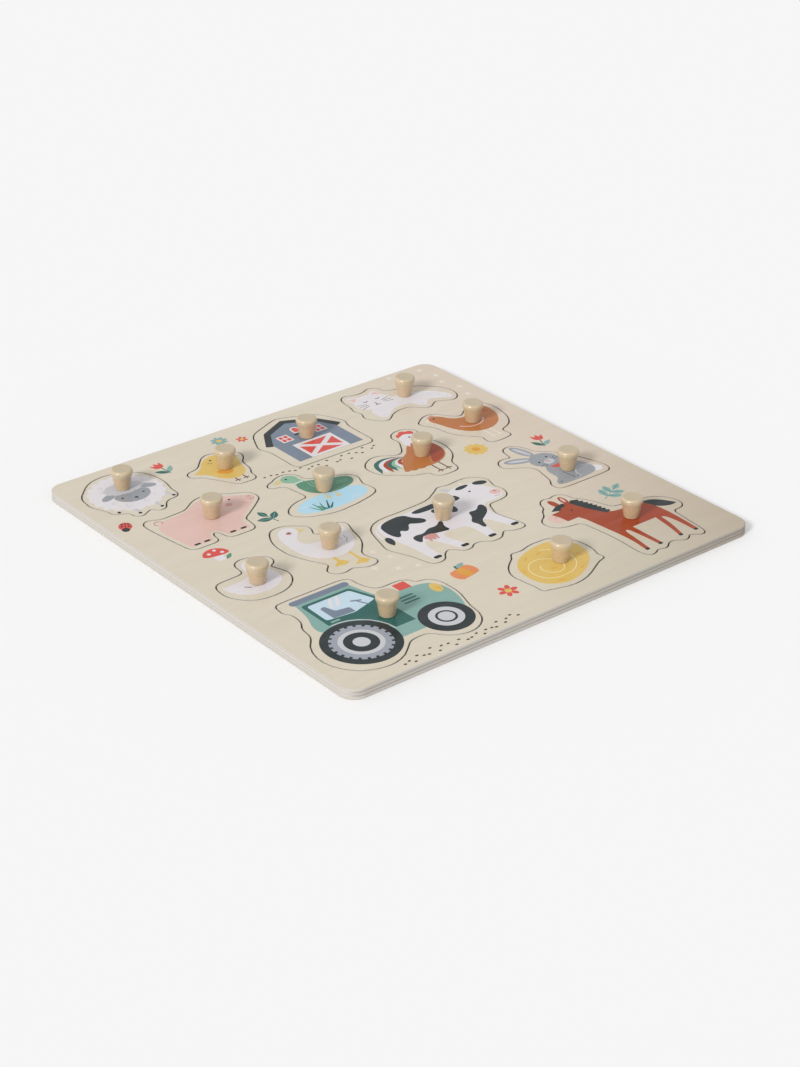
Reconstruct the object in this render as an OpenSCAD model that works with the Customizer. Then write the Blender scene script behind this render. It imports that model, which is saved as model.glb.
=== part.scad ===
// Farm peg puzzle: a board of two glued plywood panels, plaques that lift out of it, and turned knobs.
// Millimetres, +Z up. The origin is the middle of the board's underside.
// +X runs to the right and +Y to the top of the picture, as a child sits at it.

/* [Board] */
// Length of the board, left to right
board_l = 400; // [380:1:460]
// Width of the board, bottom to top
board_w = 400; // [380:1:460]
// Thickness of the top panel, which holds the pockets, and of the plaques sawn from it
top_t = 4.5; // [3.5:0.1:8]
// Thickness of the back panel, which closes the pockets from below
back_t = 4; // [2:0.1:8]
// Radius of the board's corners
board_r = 13; // [6:0.5:20]
// Edge taken off round the top and the bottom of the board
board_ease = 0.5; // [0.2:0.05:1]

/* [Sawn outlines] */
// Gap that the saw leaves round each plaque
saw_gap = 1.3; // [0.5:0.05:1.6]
// How far from a corner its curve may begin
bend_reach = 7; // [4:0.5:8]

/* [Knobs] */
// Height of a knob above its plaque
knob_h = 17.8; // [15:0.1:22]
// Diameter of the head at its widest
head_d = 18.2; // [17:0.1:22]
// Height of the head, from the crease to the flat top
head_h = 6.8; // [4.5:0.1:8]
// How far the head rounds over, from its widest to the flat top
head_round_h = 2.2; // [2:0.1:4]
// Diameter of the flat top
crown_d = 14; // [10:0.1:15]
// Depth of the shallow dish in the flat top
crown_dish = 0.3; // [0.1:0.05:0.8]
// Diameter of the stem where it meets the head, at the crease
crease_d = 15.9; // [14.5:0.1:16.9]
// Diameter of the stem at its foot
foot_d = 12.4; // [9:0.1:14]
// Radius of the rounded foot
foot_round = 1.1; // [0.4:0.1:1.4]
// Diameter of the tenon glued into the plaque
tenon_d = 6; // [4:0.1:8]
// Wood left under the tenon's socket
socket_floor = 1; // [0.6:0.1:1.5]
// Room for glue under the tenon
glue_room = 0.3; // [0.1:0.05:0.5]
// Gap round the tenon in its socket
tenon_gap = 0.05; // [0.02:0.01:0.15]

/* [Plaques of the top row] */
// Sheep, left to right
sheep_l = 70; // [64:0.5:72]
// Sheep, bottom to top
sheep_w = 77; // [70:0.5:79]
// Chick, left to right
chick_l = 57; // [51:0.5:61]
// Chick, bottom to top
chick_w = 59.5; // [54:0.5:62]
// Barn, left to right
barn_l = 88; // [80:0.5:92]
// Barn, bottom to top
barn_w = 85; // [78:0.5:88]
// Cat, left to right
cat_l = 94; // [86:0.5:98]
// Cat, bottom to top
cat_w = 62.5; // [57:0.5:65]

/* [Plaques of the second row] */
// Pig, left to right
pig_l = 99; // [90:0.5:101]
// Pig, bottom to top
pig_w = 70; // [64:0.5:73]
// Duck on its pond, left to right
duck_l = 81.5; // [74:0.5:84]
// Duck on its pond, bottom to top
duck_w = 77.5; // [71:0.5:80]
// Rooster, left to right
rooster_l = 78; // [71:0.5:81]
// Rooster, bottom to top
rooster_w = 87; // [80:0.5:90]
// Hen, left to right
hen_l = 72.5; // [66:0.5:75]
// Hen, bottom to top
hen_w = 74.5; // [68:0.5:77]

/* [Plaques of the third row] */
// Duckling, left to right
duckling_l = 60; // [54:0.5:64]
// Duckling, bottom to top
duckling_w = 59; // [53:0.5:63]
// Goose, left to right
goose_l = 65; // [59:0.5:67]
// Goose, bottom to top
goose_w = 92.5; // [84:0.5:94]
// Cow, left to right
cow_l = 137; // [126:0.5:140]
// Cow, bottom to top
cow_w = 95.5; // [87:0.5:98]
// Rabbit, left to right
rabbit_l = 69; // [63:0.5:73]
// Rabbit, bottom to top
rabbit_w = 83.5; // [76:0.5:86]

/* [Plaques of the bottom row] */
// Tractor, left to right
tractor_l = 138.5; // [126:0.5:140]
// Tractor, bottom to top
tractor_w = 117.5; // [108:0.5:119]
// Bale of hay, left to right
bale_l = 76; // [68:0.5:79]
// Bale of hay, bottom to top
bale_w = 65.5; // [60:0.5:69]
// Horse, left to right
horse_l = 110; // [100:0.5:112]
// Horse, bottom to top
horse_w = 119; // [108:0.5:121]

/* [Hidden] */

// How far each cut runs past the face that it leaves
cut_over = 1;
// Facets of a full turn, and the most that an outline turns in one step
$fn = 64;
turn_step = 13;
// Steps of the knob's rounded stretches
round_steps = 8;

board_t = back_t + top_t;
tenon_l = top_t - socket_floor - glue_room;

// Board that the plaques' sizes are given for: on another one they grow or shrink with it
drawn_board = [400, 400];

// A plaque is a list of its size, its centre as shares of the board, its knob's place as shares of
// the plaque, and its outline as shares of the plaque, read clockwise from its left end.
// All shares run from the left and from the bottom, but a centre's run from the board's middle.
function size_of(piece) = [
    piece[0][0] * board_l / drawn_board[0],
    piece[0][1] * board_w / drawn_board[1]
];
function centre_of(piece) = [piece[1][0] * board_l, piece[1][1] * board_w];
function knob_of(piece) = centre_of(piece) + [
    (piece[2][0] - 1 / 2) * size_of(piece)[0],
    (piece[2][1] - 1 / 2) * size_of(piece)[1]
];
function shares_of(piece) = piece[3];

sheep_outline_shares = [
    [0.01, 0.59], [0.04, 0.72], [0.14, 0.82], [0.27, 0.94], [0.41, 0.99], [0.59, 1.00], [0.76, 0.95],
    [0.89, 0.86], [0.96, 0.75], [1.00, 0.59], [0.99, 0.45], [0.95, 0.33], [0.96, 0.21], [0.90, 0.15],
    [0.79, 0.15], [0.71, 0.10], [0.66, 0.01], [0.57, 0.00], [0.51, 0.08], [0.44, 0.06], [0.36, 0.01],
    [0.28, 0.04], [0.27, 0.14], [0.20, 0.17], [0.11, 0.21], [0.10, 0.30], [0.06, 0.38], [0.01, 0.47]
];
sheep_share = [[-0.385, 0.3725], [0.535, 0.655], sheep_outline_shares];
sheep_piece = concat([[sheep_l, sheep_w]], sheep_share);

chick_outline_shares = [
    [0.00, 0.60], [0.04, 0.69], [0.21, 0.71], [0.30, 0.77], [0.40, 0.89], [0.51, 0.98], [0.64, 1.00],
    [0.77, 0.94], [0.89, 0.87], [0.99, 0.82], [1.00, 0.71], [0.95, 0.62], [0.86, 0.54], [0.85, 0.40],
    [0.82, 0.27], [0.75, 0.18], [0.76, 0.07], [0.70, 0.00], [0.56, 0.00], [0.43, 0.01], [0.38, 0.10],
    [0.30, 0.22], [0.23, 0.35], [0.12, 0.49], [0.02, 0.54]
];
chick_share = [[-0.174, 0.344], [0.58, 0.54], chick_outline_shares];
chick_piece = concat([[chick_l, chick_w]], chick_share);

// The barn is the same on both sides, so only its right half is listed, from the ridge down
barn_half_shares = [
    [0.53, 1.00], [0.69, 0.93], [0.87, 0.85], [0.94, 0.70], [1.00, 0.56], [0.97, 0.49],
    [0.95, 0.42], [0.95, 0.00]
];
barn_outline_shares = concat(
    [for (i = [len(barn_half_shares) - 1 : -1 : 0]) [1 - barn_half_shares[i][0], barn_half_shares[i][1]]],
    barn_half_shares
);
barn_share = [[0.0525, 0.361], [0.51, 0.50], barn_outline_shares];
barn_piece = concat([[barn_l, barn_w]], barn_share);

cat_outline_shares = [
    [0.00, 0.30], [0.05, 0.42], [0.01, 0.54], [0.05, 0.67], [0.05, 0.83], [0.08, 0.96], [0.14, 1.00],
    [0.21, 0.94], [0.32, 0.93], [0.41, 1.00], [0.48, 0.95], [0.50, 0.80], [0.58, 0.74], [0.71, 0.71],
    [0.80, 0.65], [0.89, 0.54], [0.97, 0.39], [1.00, 0.22], [0.97, 0.08], [0.89, 0.00], [0.82, 0.05],
    [0.73, 0.13], [0.67, 0.08], [0.62, 0.02], [0.55, 0.06], [0.48, 0.21], [0.34, 0.22], [0.24, 0.16],
    [0.15, 0.04], [0.08, 0.09], [0.03, 0.19]
];
cat_share = [[0.325, 0.388], [0.595, 0.535], cat_outline_shares];
cat_piece = concat([[cat_l, cat_w]], cat_share);

pig_outline_shares = [
    [0.00, 0.76], [0.01, 0.85], [0.06, 0.89], [0.12, 0.85], [0.18, 0.81], [0.30, 0.83], [0.40, 0.83],
    [0.47, 0.90], [0.54, 0.97], [0.62, 1.00], [0.71, 0.99], [0.78, 0.92], [0.87, 0.84], [0.97, 0.77],
    [1.00, 0.70], [1.00, 0.62], [0.98, 0.56], [0.93, 0.51], [0.83, 0.39], [0.70, 0.28], [0.69, 0.21],
    [0.68, 0.00], [0.42, 0.00], [0.41, 0.16], [0.37, 0.22], [0.33, 0.16], [0.33, 0.01], [0.07, 0.01],
    [0.04, 0.31], [0.02, 0.49]
];
pig_share = [[-0.311, 0.1825], [0.51, 0.535], pig_outline_shares];
pig_piece = concat([[pig_l, pig_w]], pig_share);

duck_outline_shares = [
    [0.17, 0.87], [0.21, 0.92], [0.28, 0.94], [0.33, 0.98], [0.41, 1.00], [0.49, 0.99], [0.55, 0.92],
    [0.55, 0.81], [0.60, 0.755], [0.72, 0.715], [0.86, 0.65], [0.98, 0.56], [1.00, 0.48], [0.96, 0.39],
    [0.94, 0.32], [0.97, 0.22], [0.96, 0.13], [0.89, 0.08], [0.75, 0.04], [0.55, 0.005], [0.38, 0.00],
    [0.22, 0.04], [0.08, 0.11], [0.00, 0.21], [0.02, 0.30], [0.11, 0.38], [0.23, 0.425], [0.34, 0.43],
    [0.36, 0.50], [0.34, 0.61], [0.33, 0.74], [0.29, 0.80], [0.19, 0.82]
];
duck_share = [[-0.081, 0.148], [0.57, 0.47], duck_outline_shares];
duck_piece = concat([[duck_l, duck_w]], duck_share);

rooster_outline_shares = [
    [0.00, 0.55], [0.04, 0.61], [0.11, 0.66], [0.20, 0.69], [0.29, 0.68], [0.37, 0.62], [0.47, 0.58],
    [0.55, 0.61], [0.62, 0.71], [0.68, 0.80], [0.66, 0.90], [0.71, 0.97], [0.80, 1.00], [0.91, 0.99],
    [0.98, 0.93], [0.98, 0.84], [0.95, 0.73], [0.98, 0.62], [1.00, 0.52], [0.98, 0.39], [0.92, 0.27],
    [0.84, 0.21], [0.79, 0.16], [0.78, 0.06], [0.73, 0.00], [0.53, 0.00], [0.47, 0.04], [0.46, 0.13],
    [0.29, 0.16], [0.20, 0.25], [0.06, 0.33], [0.00, 0.44]
];
rooster_share = [[0.156, 0.151], [0.665, 0.455], rooster_outline_shares];
rooster_piece = concat([[rooster_l, rooster_w]], rooster_share);

hen_outline_shares = [
    [0.00, 0.88], [0.05, 0.92], [0.12, 0.97], [0.21, 1.00], [0.31, 0.98], [0.37, 0.89], [0.43, 0.80],
    [0.52, 0.74], [0.60, 0.78], [0.71, 0.88], [0.84, 0.93], [0.95, 0.89], [0.99, 0.79], [1.00, 0.68],
    [0.98, 0.54], [0.94, 0.41], [0.87, 0.30], [0.78, 0.235], [0.66, 0.20], [0.65, 0.13], [0.67, 0.05],
    [0.62, 0.01], [0.41, 0.00], [0.34, 0.03], [0.34, 0.11], [0.37, 0.18], [0.27, 0.27], [0.16, 0.40],
    [0.11, 0.54], [0.10, 0.70], [0.02, 0.80]
];
hen_share = [[0.369, 0.187], [0.545, 0.57], hen_outline_shares];
hen_piece = concat([[hen_l, hen_w]], hen_share);

duckling_outline_shares = [
    [0.00, 0.47], [0.03, 0.61], [0.11, 0.66], [0.27, 0.665], [0.46, 0.67], [0.52, 0.73], [0.52, 0.89],
    [0.57, 0.97], [0.70, 1.00], [0.85, 0.94], [0.97, 0.86], [1.00, 0.77], [0.95, 0.68], [0.86, 0.64],
    [0.88, 0.55], [0.94, 0.42], [0.94, 0.29], [0.85, 0.14], [0.69, 0.03], [0.48, 0.00], [0.26, 0.03],
    [0.11, 0.14], [0.01, 0.31]
];
duckling_share = [[-0.395, -0.066], [0.51, 0.40], duckling_outline_shares];
duckling_piece = concat([[duckling_l, duckling_w]], duckling_share);

goose_outline_shares = [
    [0.00, 0.665], [0.01, 0.775], [0.07, 0.89], [0.16, 0.98], [0.27, 1.00], [0.39, 0.98], [0.49, 0.92],
    [0.58, 0.87], [0.58, 0.80], [0.52, 0.74], [0.56, 0.68], [0.70, 0.695], [0.84, 0.745], [0.95, 0.76],
    [1.00, 0.70], [0.96, 0.62], [0.92, 0.55], [0.90, 0.45], [0.84, 0.35], [0.73, 0.265], [0.67, 0.21],
    [0.68, 0.12], [0.73, 0.05], [0.67, 0.00], [0.53, 0.00], [0.45, 0.04], [0.37, 0.07], [0.27, 0.04],
    [0.15, 0.06], [0.10, 0.14], [0.17, 0.18], [0.23, 0.23], [0.14, 0.32], [0.07, 0.44], [0.01, 0.55]
];
goose_share = [[-0.2025, -0.048], [0.49, 0.465], goose_outline_shares];
goose_piece = concat([[goose_l, goose_w]], goose_share);

cow_outline_shares = [
    [0.00, 0.43], [0.035, 0.575], [0.055, 0.71], [0.10, 0.80], [0.18, 0.85], [0.36, 0.85],
    [0.545, 0.865], [0.62, 0.915], [0.67, 0.97], [0.71, 1.00], [0.77, 0.97], [0.85, 0.99],
    [0.93, 0.98], [0.99, 0.90], [1.00, 0.83], [0.97, 0.735], [0.995, 0.64], [0.965, 0.54],
    [0.895, 0.505], [0.80, 0.515], [0.775, 0.43], [0.75, 0.34], [0.775, 0.21], [0.80, 0.07],
    [0.78, 0.02], [0.70, 0.03], [0.655, 0.085], [0.62, 0.045], [0.59, 0.00], [0.515, 0.00],
    [0.48, 0.06], [0.415, 0.065], [0.385, 0.02], [0.33, 0.02], [0.295, 0.09], [0.26, 0.12],
    [0.215, 0.08], [0.18, 0.00], [0.10, 0.00], [0.08, 0.095], [0.06, 0.23], [0.02, 0.34]
];
cow_share = [[0.0475, -0.1155], [0.485, 0.56], cow_outline_shares];
cow_piece = concat([[cow_l, cow_w]], cow_share);

rabbit_outline_shares = [
    [0.00, 0.72], [0.04, 0.79], [0.13, 0.82], [0.26, 0.79], [0.27, 0.88], [0.30, 0.97], [0.39, 1.00],
    [0.48, 0.98], [0.54, 0.88], [0.57, 0.76], [0.665, 0.695], [0.77, 0.605], [0.81, 0.51],
    [0.89, 0.415], [0.94, 0.27], [1.00, 0.12], [0.97, 0.02], [0.87, 0.00], [0.26, 0.00], [0.16, 0.02],
    [0.15, 0.12], [0.23, 0.185], [0.26, 0.33], [0.30, 0.435], [0.26, 0.53], [0.13, 0.60], [0.01, 0.66]
];
rabbit_share = [[0.366, -0.0495], [0.585, 0.28], rabbit_outline_shares];
rabbit_piece = concat([[rabbit_l, rabbit_w]], rabbit_share);

tractor_outline_shares = [
    [0.135, 0.935], [0.145, 0.99], [0.185, 1.00], [0.59, 1.00], [0.63, 0.97], [0.625, 0.91],
    [0.65, 0.81], [0.69, 0.76], [0.825, 0.765], [0.87, 0.73], [0.885, 0.68], [0.95, 0.67],
    [0.99, 0.61], [1.00, 0.50], [0.99, 0.39], [0.945, 0.245], [0.94, 0.145], [0.90, 0.06],
    [0.825, 0.005], [0.74, 0.005], [0.66, 0.055], [0.615, 0.135], [0.575, 0.16], [0.485, 0.155],
    [0.44, 0.12], [0.37, 0.04], [0.27, 0.00], [0.16, 0.02], [0.07, 0.09], [0.01, 0.21],
    [0.00, 0.34], [0.04, 0.47], [0.11, 0.55], [0.115, 0.67], [0.16, 0.73], [0.165, 0.85],
    [0.135, 0.885]
];
tractor_share = [[-0.298, -0.3205], [0.55, 0.475], tractor_outline_shares];
tractor_piece = concat([[tractor_l, tractor_w]], tractor_share);

bale_outline_shares = [
    [0.00, 0.44], [0.00, 0.60], [0.07, 0.74], [0.18, 0.84], [0.235, 0.88], [0.28, 0.97], [0.36, 0.95],
    [0.43, 0.95], [0.53, 0.99], [0.66, 1.00], [0.80, 0.98], [0.91, 0.91], [0.97, 0.79], [1.00, 0.62],
    [0.995, 0.46], [0.95, 0.35], [0.98, 0.25], [0.875, 0.23], [0.745, 0.145], [0.57, 0.04],
    [0.39, 0.00], [0.21, 0.04], [0.12, 0.085], [0.03, 0.10], [0.04, 0.23]
];
bale_share = [[0.089, -0.3755], [0.59, 0.51], bale_outline_shares];
bale_piece = concat([[bale_l, bale_w]], bale_share);

horse_outline_shares = [
    [0.00, 0.725], [0.02, 0.78], [0.09, 0.815], [0.125, 0.875], [0.17, 0.90], [0.19, 0.97],
    [0.245, 1.00], [0.30, 0.98], [0.36, 1.00], [0.42, 0.97], [0.43, 0.89], [0.485, 0.835],
    [0.525, 0.75], [0.55, 0.655], [0.60, 0.625], [0.725, 0.62], [0.855, 0.60], [0.945, 0.545],
    [0.995, 0.47], [1.00, 0.40], [0.955, 0.355], [0.86, 0.36], [0.85, 0.27], [0.83, 0.125],
    [0.82, 0.02], [0.775, 0.00], [0.73, 0.03], [0.695, 0.055], [0.645, 0.015], [0.605, 0.02],
    [0.555, 0.06], [0.495, 0.06], [0.435, 0.01], [0.37, 0.04], [0.32, 0.01], [0.27, 0.01],
    [0.245, 0.075], [0.26, 0.31], [0.24, 0.52], [0.225, 0.61], [0.10, 0.62], [0.03, 0.655]
];
horse_share = [[0.3175, -0.31875], [0.565, 0.465], horse_outline_shares];
horse_piece = concat([[horse_l, horse_w]], horse_share);

PIECES = [
    sheep_piece, chick_piece, barn_piece, cat_piece,
    pig_piece, duck_piece, rooster_piece, hen_piece,
    duckling_piece, goose_piece, cow_piece, rabbit_piece,
    tractor_piece, bale_piece, horse_piece
];

// Angle that the path turns through at a corner, from 0 on a straight run
function turn_at(back, ahead) = 180 - acos(max(-1, min(1, back * ahead / (norm(back) * norm(ahead)))));

// Bends the path round each corner: a parabola that starts and ends on the two sides,
// bend_reach from the corner or half way along the side, whichever is less.
function bent(corners) = [
    for (i = [0 : len(corners) - 1])
        let (
            here = corners[i],
            back = corners[(i + len(corners) - 1) % len(corners)] - here,
            ahead = corners[(i + 1) % len(corners)] - here,
            start = here + back * min(bend_reach / norm(back), 1 / 2),
            stop = here + ahead * min(bend_reach / norm(ahead), 1 / 2),
            steps = max(1, ceil(turn_at(back, ahead) / turn_step)),
            last = norm(ahead) > 2 * bend_reach ? steps : steps - 1
        )
        for (k = [0 : last])
            let (t = k / steps)
            start * (1 - t) * (1 - t) + here * 2 * t * (1 - t) + stop * t * t
];

// Lowest and highest corner of a path
function low_corner(path) = [min([for (p = path) p[0]]), min([for (p = path) p[1]])];
function high_corner(path) = [max([for (p = path) p[0]]), max([for (p = path) p[1]])];

// Stretches a path so that it fills its box exactly, with the box's middle at the origin
function filled(path, size) =
    let (
        low = low_corner(path),
        span = high_corner(path) - low
    )
    [
        for (p = path)
            [
                ((p[0] - low[0]) / span[0] - 1 / 2) * size[0],
                ((p[1] - low[1]) / span[1] - 1 / 2) * size[1]
            ]
    ];

// Unit vector that points out of a clockwise path's side
function side_normal(from, to) = [from[1] - to[1], to[0] - from[0]] / norm(to - from);

// Moves each side of a clockwise path outwards by the same distance
function grown(path, by) = [
    for (i = [0 : len(path) - 1])
        let (
            before = side_normal(path[(i + len(path) - 1) % len(path)], path[i]),
            after = side_normal(path[i], path[(i + 1) % len(path)])
        )
        path[i] + (before + after) * by / (1 + before * after)
];

// Sawn outline of a plaque about its own middle
function outline(piece) =
    let (size = size_of(piece))
    filled(bent([for (s = shares_of(piece)) [s[0] * size[0], s[1] * size[1]]]), size);

// Section across a panel, from one edge to the other, with its edges eased low and high
function panel_section(span, t, low, high) = concat(
    [[low - span / 2, 0], [span / 2 - low, 0]],
    low > 0 ? [[span / 2, low]] : [],
    high > 0 ? [[span / 2, t - high]] : [],
    [[span / 2 - high, t], [high - span / 2, t]],
    high > 0 ? [[-span / 2, t - high]] : [],
    low > 0 ? [[-span / 2, low]] : []
);

// Right half of that section, for a corner's turn
function corner_section(t, low, high) = [
    for (p = panel_section(2 * board_r, t, low, high)) [max(0, p[0]), p[1]]
];

// Rounded panel from two crossing slabs and four turned corners
module panel(t, low, high) {
    rotate([90, 0, 0])
        linear_extrude(height = board_w - 2 * board_r, center = true)
            polygon(panel_section(board_l, t, low, high));
    rotate([90, 0, 90])
        linear_extrude(height = board_l - 2 * board_r, center = true)
            polygon(panel_section(board_w, t, low, high));
    for (x = [-1, 1])
        for (y = [-1, 1])
            translate([x * (board_l / 2 - board_r), y * (board_w / 2 - board_r), 0])
                rotate_extrude()
                    polygon(corner_section(t, low, high));
}

// Through cut that a plaque drops into
module pocket(piece) {
    translate(centre_of(piece))
        translate([0, 0, -cut_over])
            linear_extrude(height = top_t + 2 * cut_over)
                polygon(grown(outline(piece), saw_gap));
}

// Plaque lying in its pocket, with the bored socket for its knob
module plaque(piece) {
    difference() {
        translate(concat(centre_of(piece), [back_t]))
            linear_extrude(height = top_t)
                polygon(outline(piece));
        translate(concat(knob_of(piece), [board_t - tenon_l - glue_room]))
            cylinder(d = tenon_d + 2 * tenon_gap, h = tenon_l + glue_room + cut_over);
    }
}

// Half section of a knob, from the tenon's end to the dished top. Above the crease the head swells
// out in a quarter round.
function knob_section() =
    let (
        crease_z = knob_h - head_h,
        widest_z = knob_h - head_round_h
    )
    concat(
        [[0, -tenon_l], [tenon_d / 2, -tenon_l], [tenon_d / 2, 0], [foot_d / 2 - foot_round, 0]],
        [
            for (k = [1 : round_steps])
                let (a = 90 * k / round_steps)
                [foot_d / 2 - foot_round * (1 - sin(a)), foot_round * (1 - cos(a))]
        ],
        [
            for (k = [0 : round_steps - 1])
                let (u = k / round_steps)
                [
                    crease_d / 2 + (head_d - crease_d) / 2 * sin(90 * u),
                    crease_z + (widest_z - crease_z) * u
                ]
        ],
        [
            for (k = [0 : round_steps])
                let (a = 90 * k / round_steps)
                [
                    crown_d / 2 + (head_d - crown_d) / 2 * cos(a),
                    widest_z + head_round_h * sin(a)
                ]
        ],
        [[0, knob_h - crown_dish]]
    );

// Turned knob standing on its plaque
module knob(piece) {
    translate(concat(knob_of(piece), [board_t]))
        rotate_extrude()
            polygon(knob_section());
}

module top_panel() {
    color("#D7CBBA")
        translate([0, 0, back_t])
            difference() {
                panel(top_t, 0, board_ease);
                for (piece = PIECES)
                    pocket(piece);
            }
}

module back_panel() {
    color("#CDBFA9") panel(back_t, board_ease, 0);
}

module sheep() { color("#DAD8DC") plaque(sheep_piece); }
module chick() { color("#DDB95C") plaque(chick_piece); }
module barn() { color("#7A8594") plaque(barn_piece); }
module cat() { color("#C9C6C4") plaque(cat_piece); }
module pig() { color("#DDB9B2") plaque(pig_piece); }
module duck() { color("#A9D2EA") plaque(duck_piece); }
module rooster() { color("#B35C38") plaque(rooster_piece); }
module hen() { color("#B9683F") plaque(hen_piece); }
module duckling() { color("#E3E0E4") plaque(duckling_piece); }
module goose() { color("#E0DEE6") plaque(goose_piece); }
module cow() { color("#8E8D92") plaque(cow_piece); }
module rabbit() { color("#9AA0AC") plaque(rabbit_piece); }
module tractor() { color("#86B5AA") plaque(tractor_piece); }
module bale() { color("#DDB65B") plaque(bale_piece); }
module horse() { color("#A4492F") plaque(horse_piece); }

module wood_knob(piece) { color("#CDB496") knob(piece); }

top_panel();
back_panel();
sheep();
wood_knob(sheep_piece);  // sheep_knob
chick();
wood_knob(chick_piece);  // chick_knob
barn();
wood_knob(barn_piece);  // barn_knob
cat();
wood_knob(cat_piece);  // cat_knob
pig();
wood_knob(pig_piece);  // pig_knob
duck();
wood_knob(duck_piece);  // duck_knob
rooster();
wood_knob(rooster_piece);  // rooster_knob
hen();
wood_knob(hen_piece);  // hen_knob
duckling();
wood_knob(duckling_piece);  // duckling_knob
goose();
wood_knob(goose_piece);  // goose_knob
cow();
wood_knob(cow_piece);  // cow_knob
rabbit();
wood_knob(rabbit_piece);  // rabbit_knob
tractor();
wood_knob(tractor_piece);  // tractor_knob
bale();
wood_knob(bale_piece);  // bale_knob
horse();
wood_knob(horse_piece);  // horse_knob
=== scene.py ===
"""Looks of a wooden farm peg puzzle: birch plywood, turned knobs, and the inks printed on the wood.

Blender works in metres. The pictures are drawn in millimetres from the board's middle, with +X to
the right and +Y to the top, as a child sits at it.
"""

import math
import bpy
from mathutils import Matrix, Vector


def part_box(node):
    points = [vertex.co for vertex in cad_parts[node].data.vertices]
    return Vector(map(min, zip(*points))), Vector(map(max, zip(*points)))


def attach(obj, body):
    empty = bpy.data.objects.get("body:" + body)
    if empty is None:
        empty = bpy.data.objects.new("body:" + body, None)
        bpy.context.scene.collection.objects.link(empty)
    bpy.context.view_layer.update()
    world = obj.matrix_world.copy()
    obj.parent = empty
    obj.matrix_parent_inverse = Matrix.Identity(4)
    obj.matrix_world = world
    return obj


bl_info = {
    "name": "Farm Peg Puzzle",
    "version": (1, 0, 0),
    "blender": (4, 5, 0),
    "location": "View3D > Sidebar > Peg Puzzle",
    "description": "Dresses a wooden peg puzzle in plywood, turned knobs and printed farm pictures",
    "category": "Object",
}

import bmesh
import bpy
from bpy.props import FloatProperty, FloatVectorProperty, IntProperty, PointerProperty
from mathutils import Matrix, Vector

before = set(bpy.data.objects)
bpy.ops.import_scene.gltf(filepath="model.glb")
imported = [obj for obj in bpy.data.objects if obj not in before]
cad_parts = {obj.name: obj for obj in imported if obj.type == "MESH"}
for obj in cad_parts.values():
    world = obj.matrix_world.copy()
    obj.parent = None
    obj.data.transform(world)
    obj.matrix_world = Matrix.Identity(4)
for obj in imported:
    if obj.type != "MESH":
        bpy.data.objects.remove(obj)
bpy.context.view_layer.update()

MM = 0.001
BOARD_LOW, BOARD_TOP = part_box("back_panel")[0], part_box("top_panel")[1]
KNOB_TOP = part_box("sheep_knob")[1]
PIECES = (
    "sheep", "chick", "barn", "cat", "pig", "duck", "rooster", "hen",
    "duckling", "goose", "cow", "rabbit", "tractor", "bale", "horse",
)

# Glue lines between the five plies, as shares of the board's thickness from its underside. Every
# other ply lies across the face's grain. A line fades out over GLUE_REACH to both sides, and one
# ply turns into the next over PLY_BLUR.
GLUE_LINES = (0.32, 0.48, 0.63, 0.82)
GLUE_REACH, PLY_BLUR = 0.016, 0.012
# The plies wander up and down by about a tenth of a millimetre, once in every WANDER_RUN
WANDER, WANDER_RUN = 0.25 * MM, 22.2 * MM
# Width and length of the wood's fibres, coarser than real ones so that they show
FIBRE, FIBRE_RUN = 0.35 * MM, 8 * MM
# Beech: length of a growth line and of a ray's fleck, pores of its end grain, and the spacing of
# the rings that the lathe tool leaves
LINE_RUN, RAY_RUN, END_PORE, TOOL_RING = 30 * MM, 2.2 * MM, 0.5 * MM, 0.33 * MM
# Degrees of a printed line's bend for each step
STROKE_STEP = 15
# Long side of the camera's sensor in millimetres
SENSOR = 36
# Sockets of a Mix node set to colours, where several share a name
SHARE, FROM, TO, MIXED = 0, 6, 7, 2


# Settings


def linear(hex_colour):
    """Linear red, green and blue of an sRGB colour written as six hex digits."""
    shares = [int(hex_colour[i : i + 2], 16) / 255 for i in (0, 2, 4)]
    return tuple(s / 12.92 if s <= 0.04045 else ((s + 0.055) / 1.055) ** 2.4 for s in shares)


def colour(name, description, hex_colour):
    """A colour that the user can change."""
    return FloatVectorProperty(
        name=name, description=description, default=linear(hex_colour),
        subtype="COLOR", min=0, max=1,
    )


def length(name, description, millimetres):
    """A length that the user can change."""
    return FloatProperty(
        name=name, description=description, default=millimetres * MM,
        min=0, precision=5, unit="LENGTH",
    )


def angle(name, description, degrees):
    """An angle that the user can change."""
    return FloatProperty(
        name=name, description=description, default=math.radians(degrees),
        subtype="ANGLE", unit="ROTATION",
    )


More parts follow.
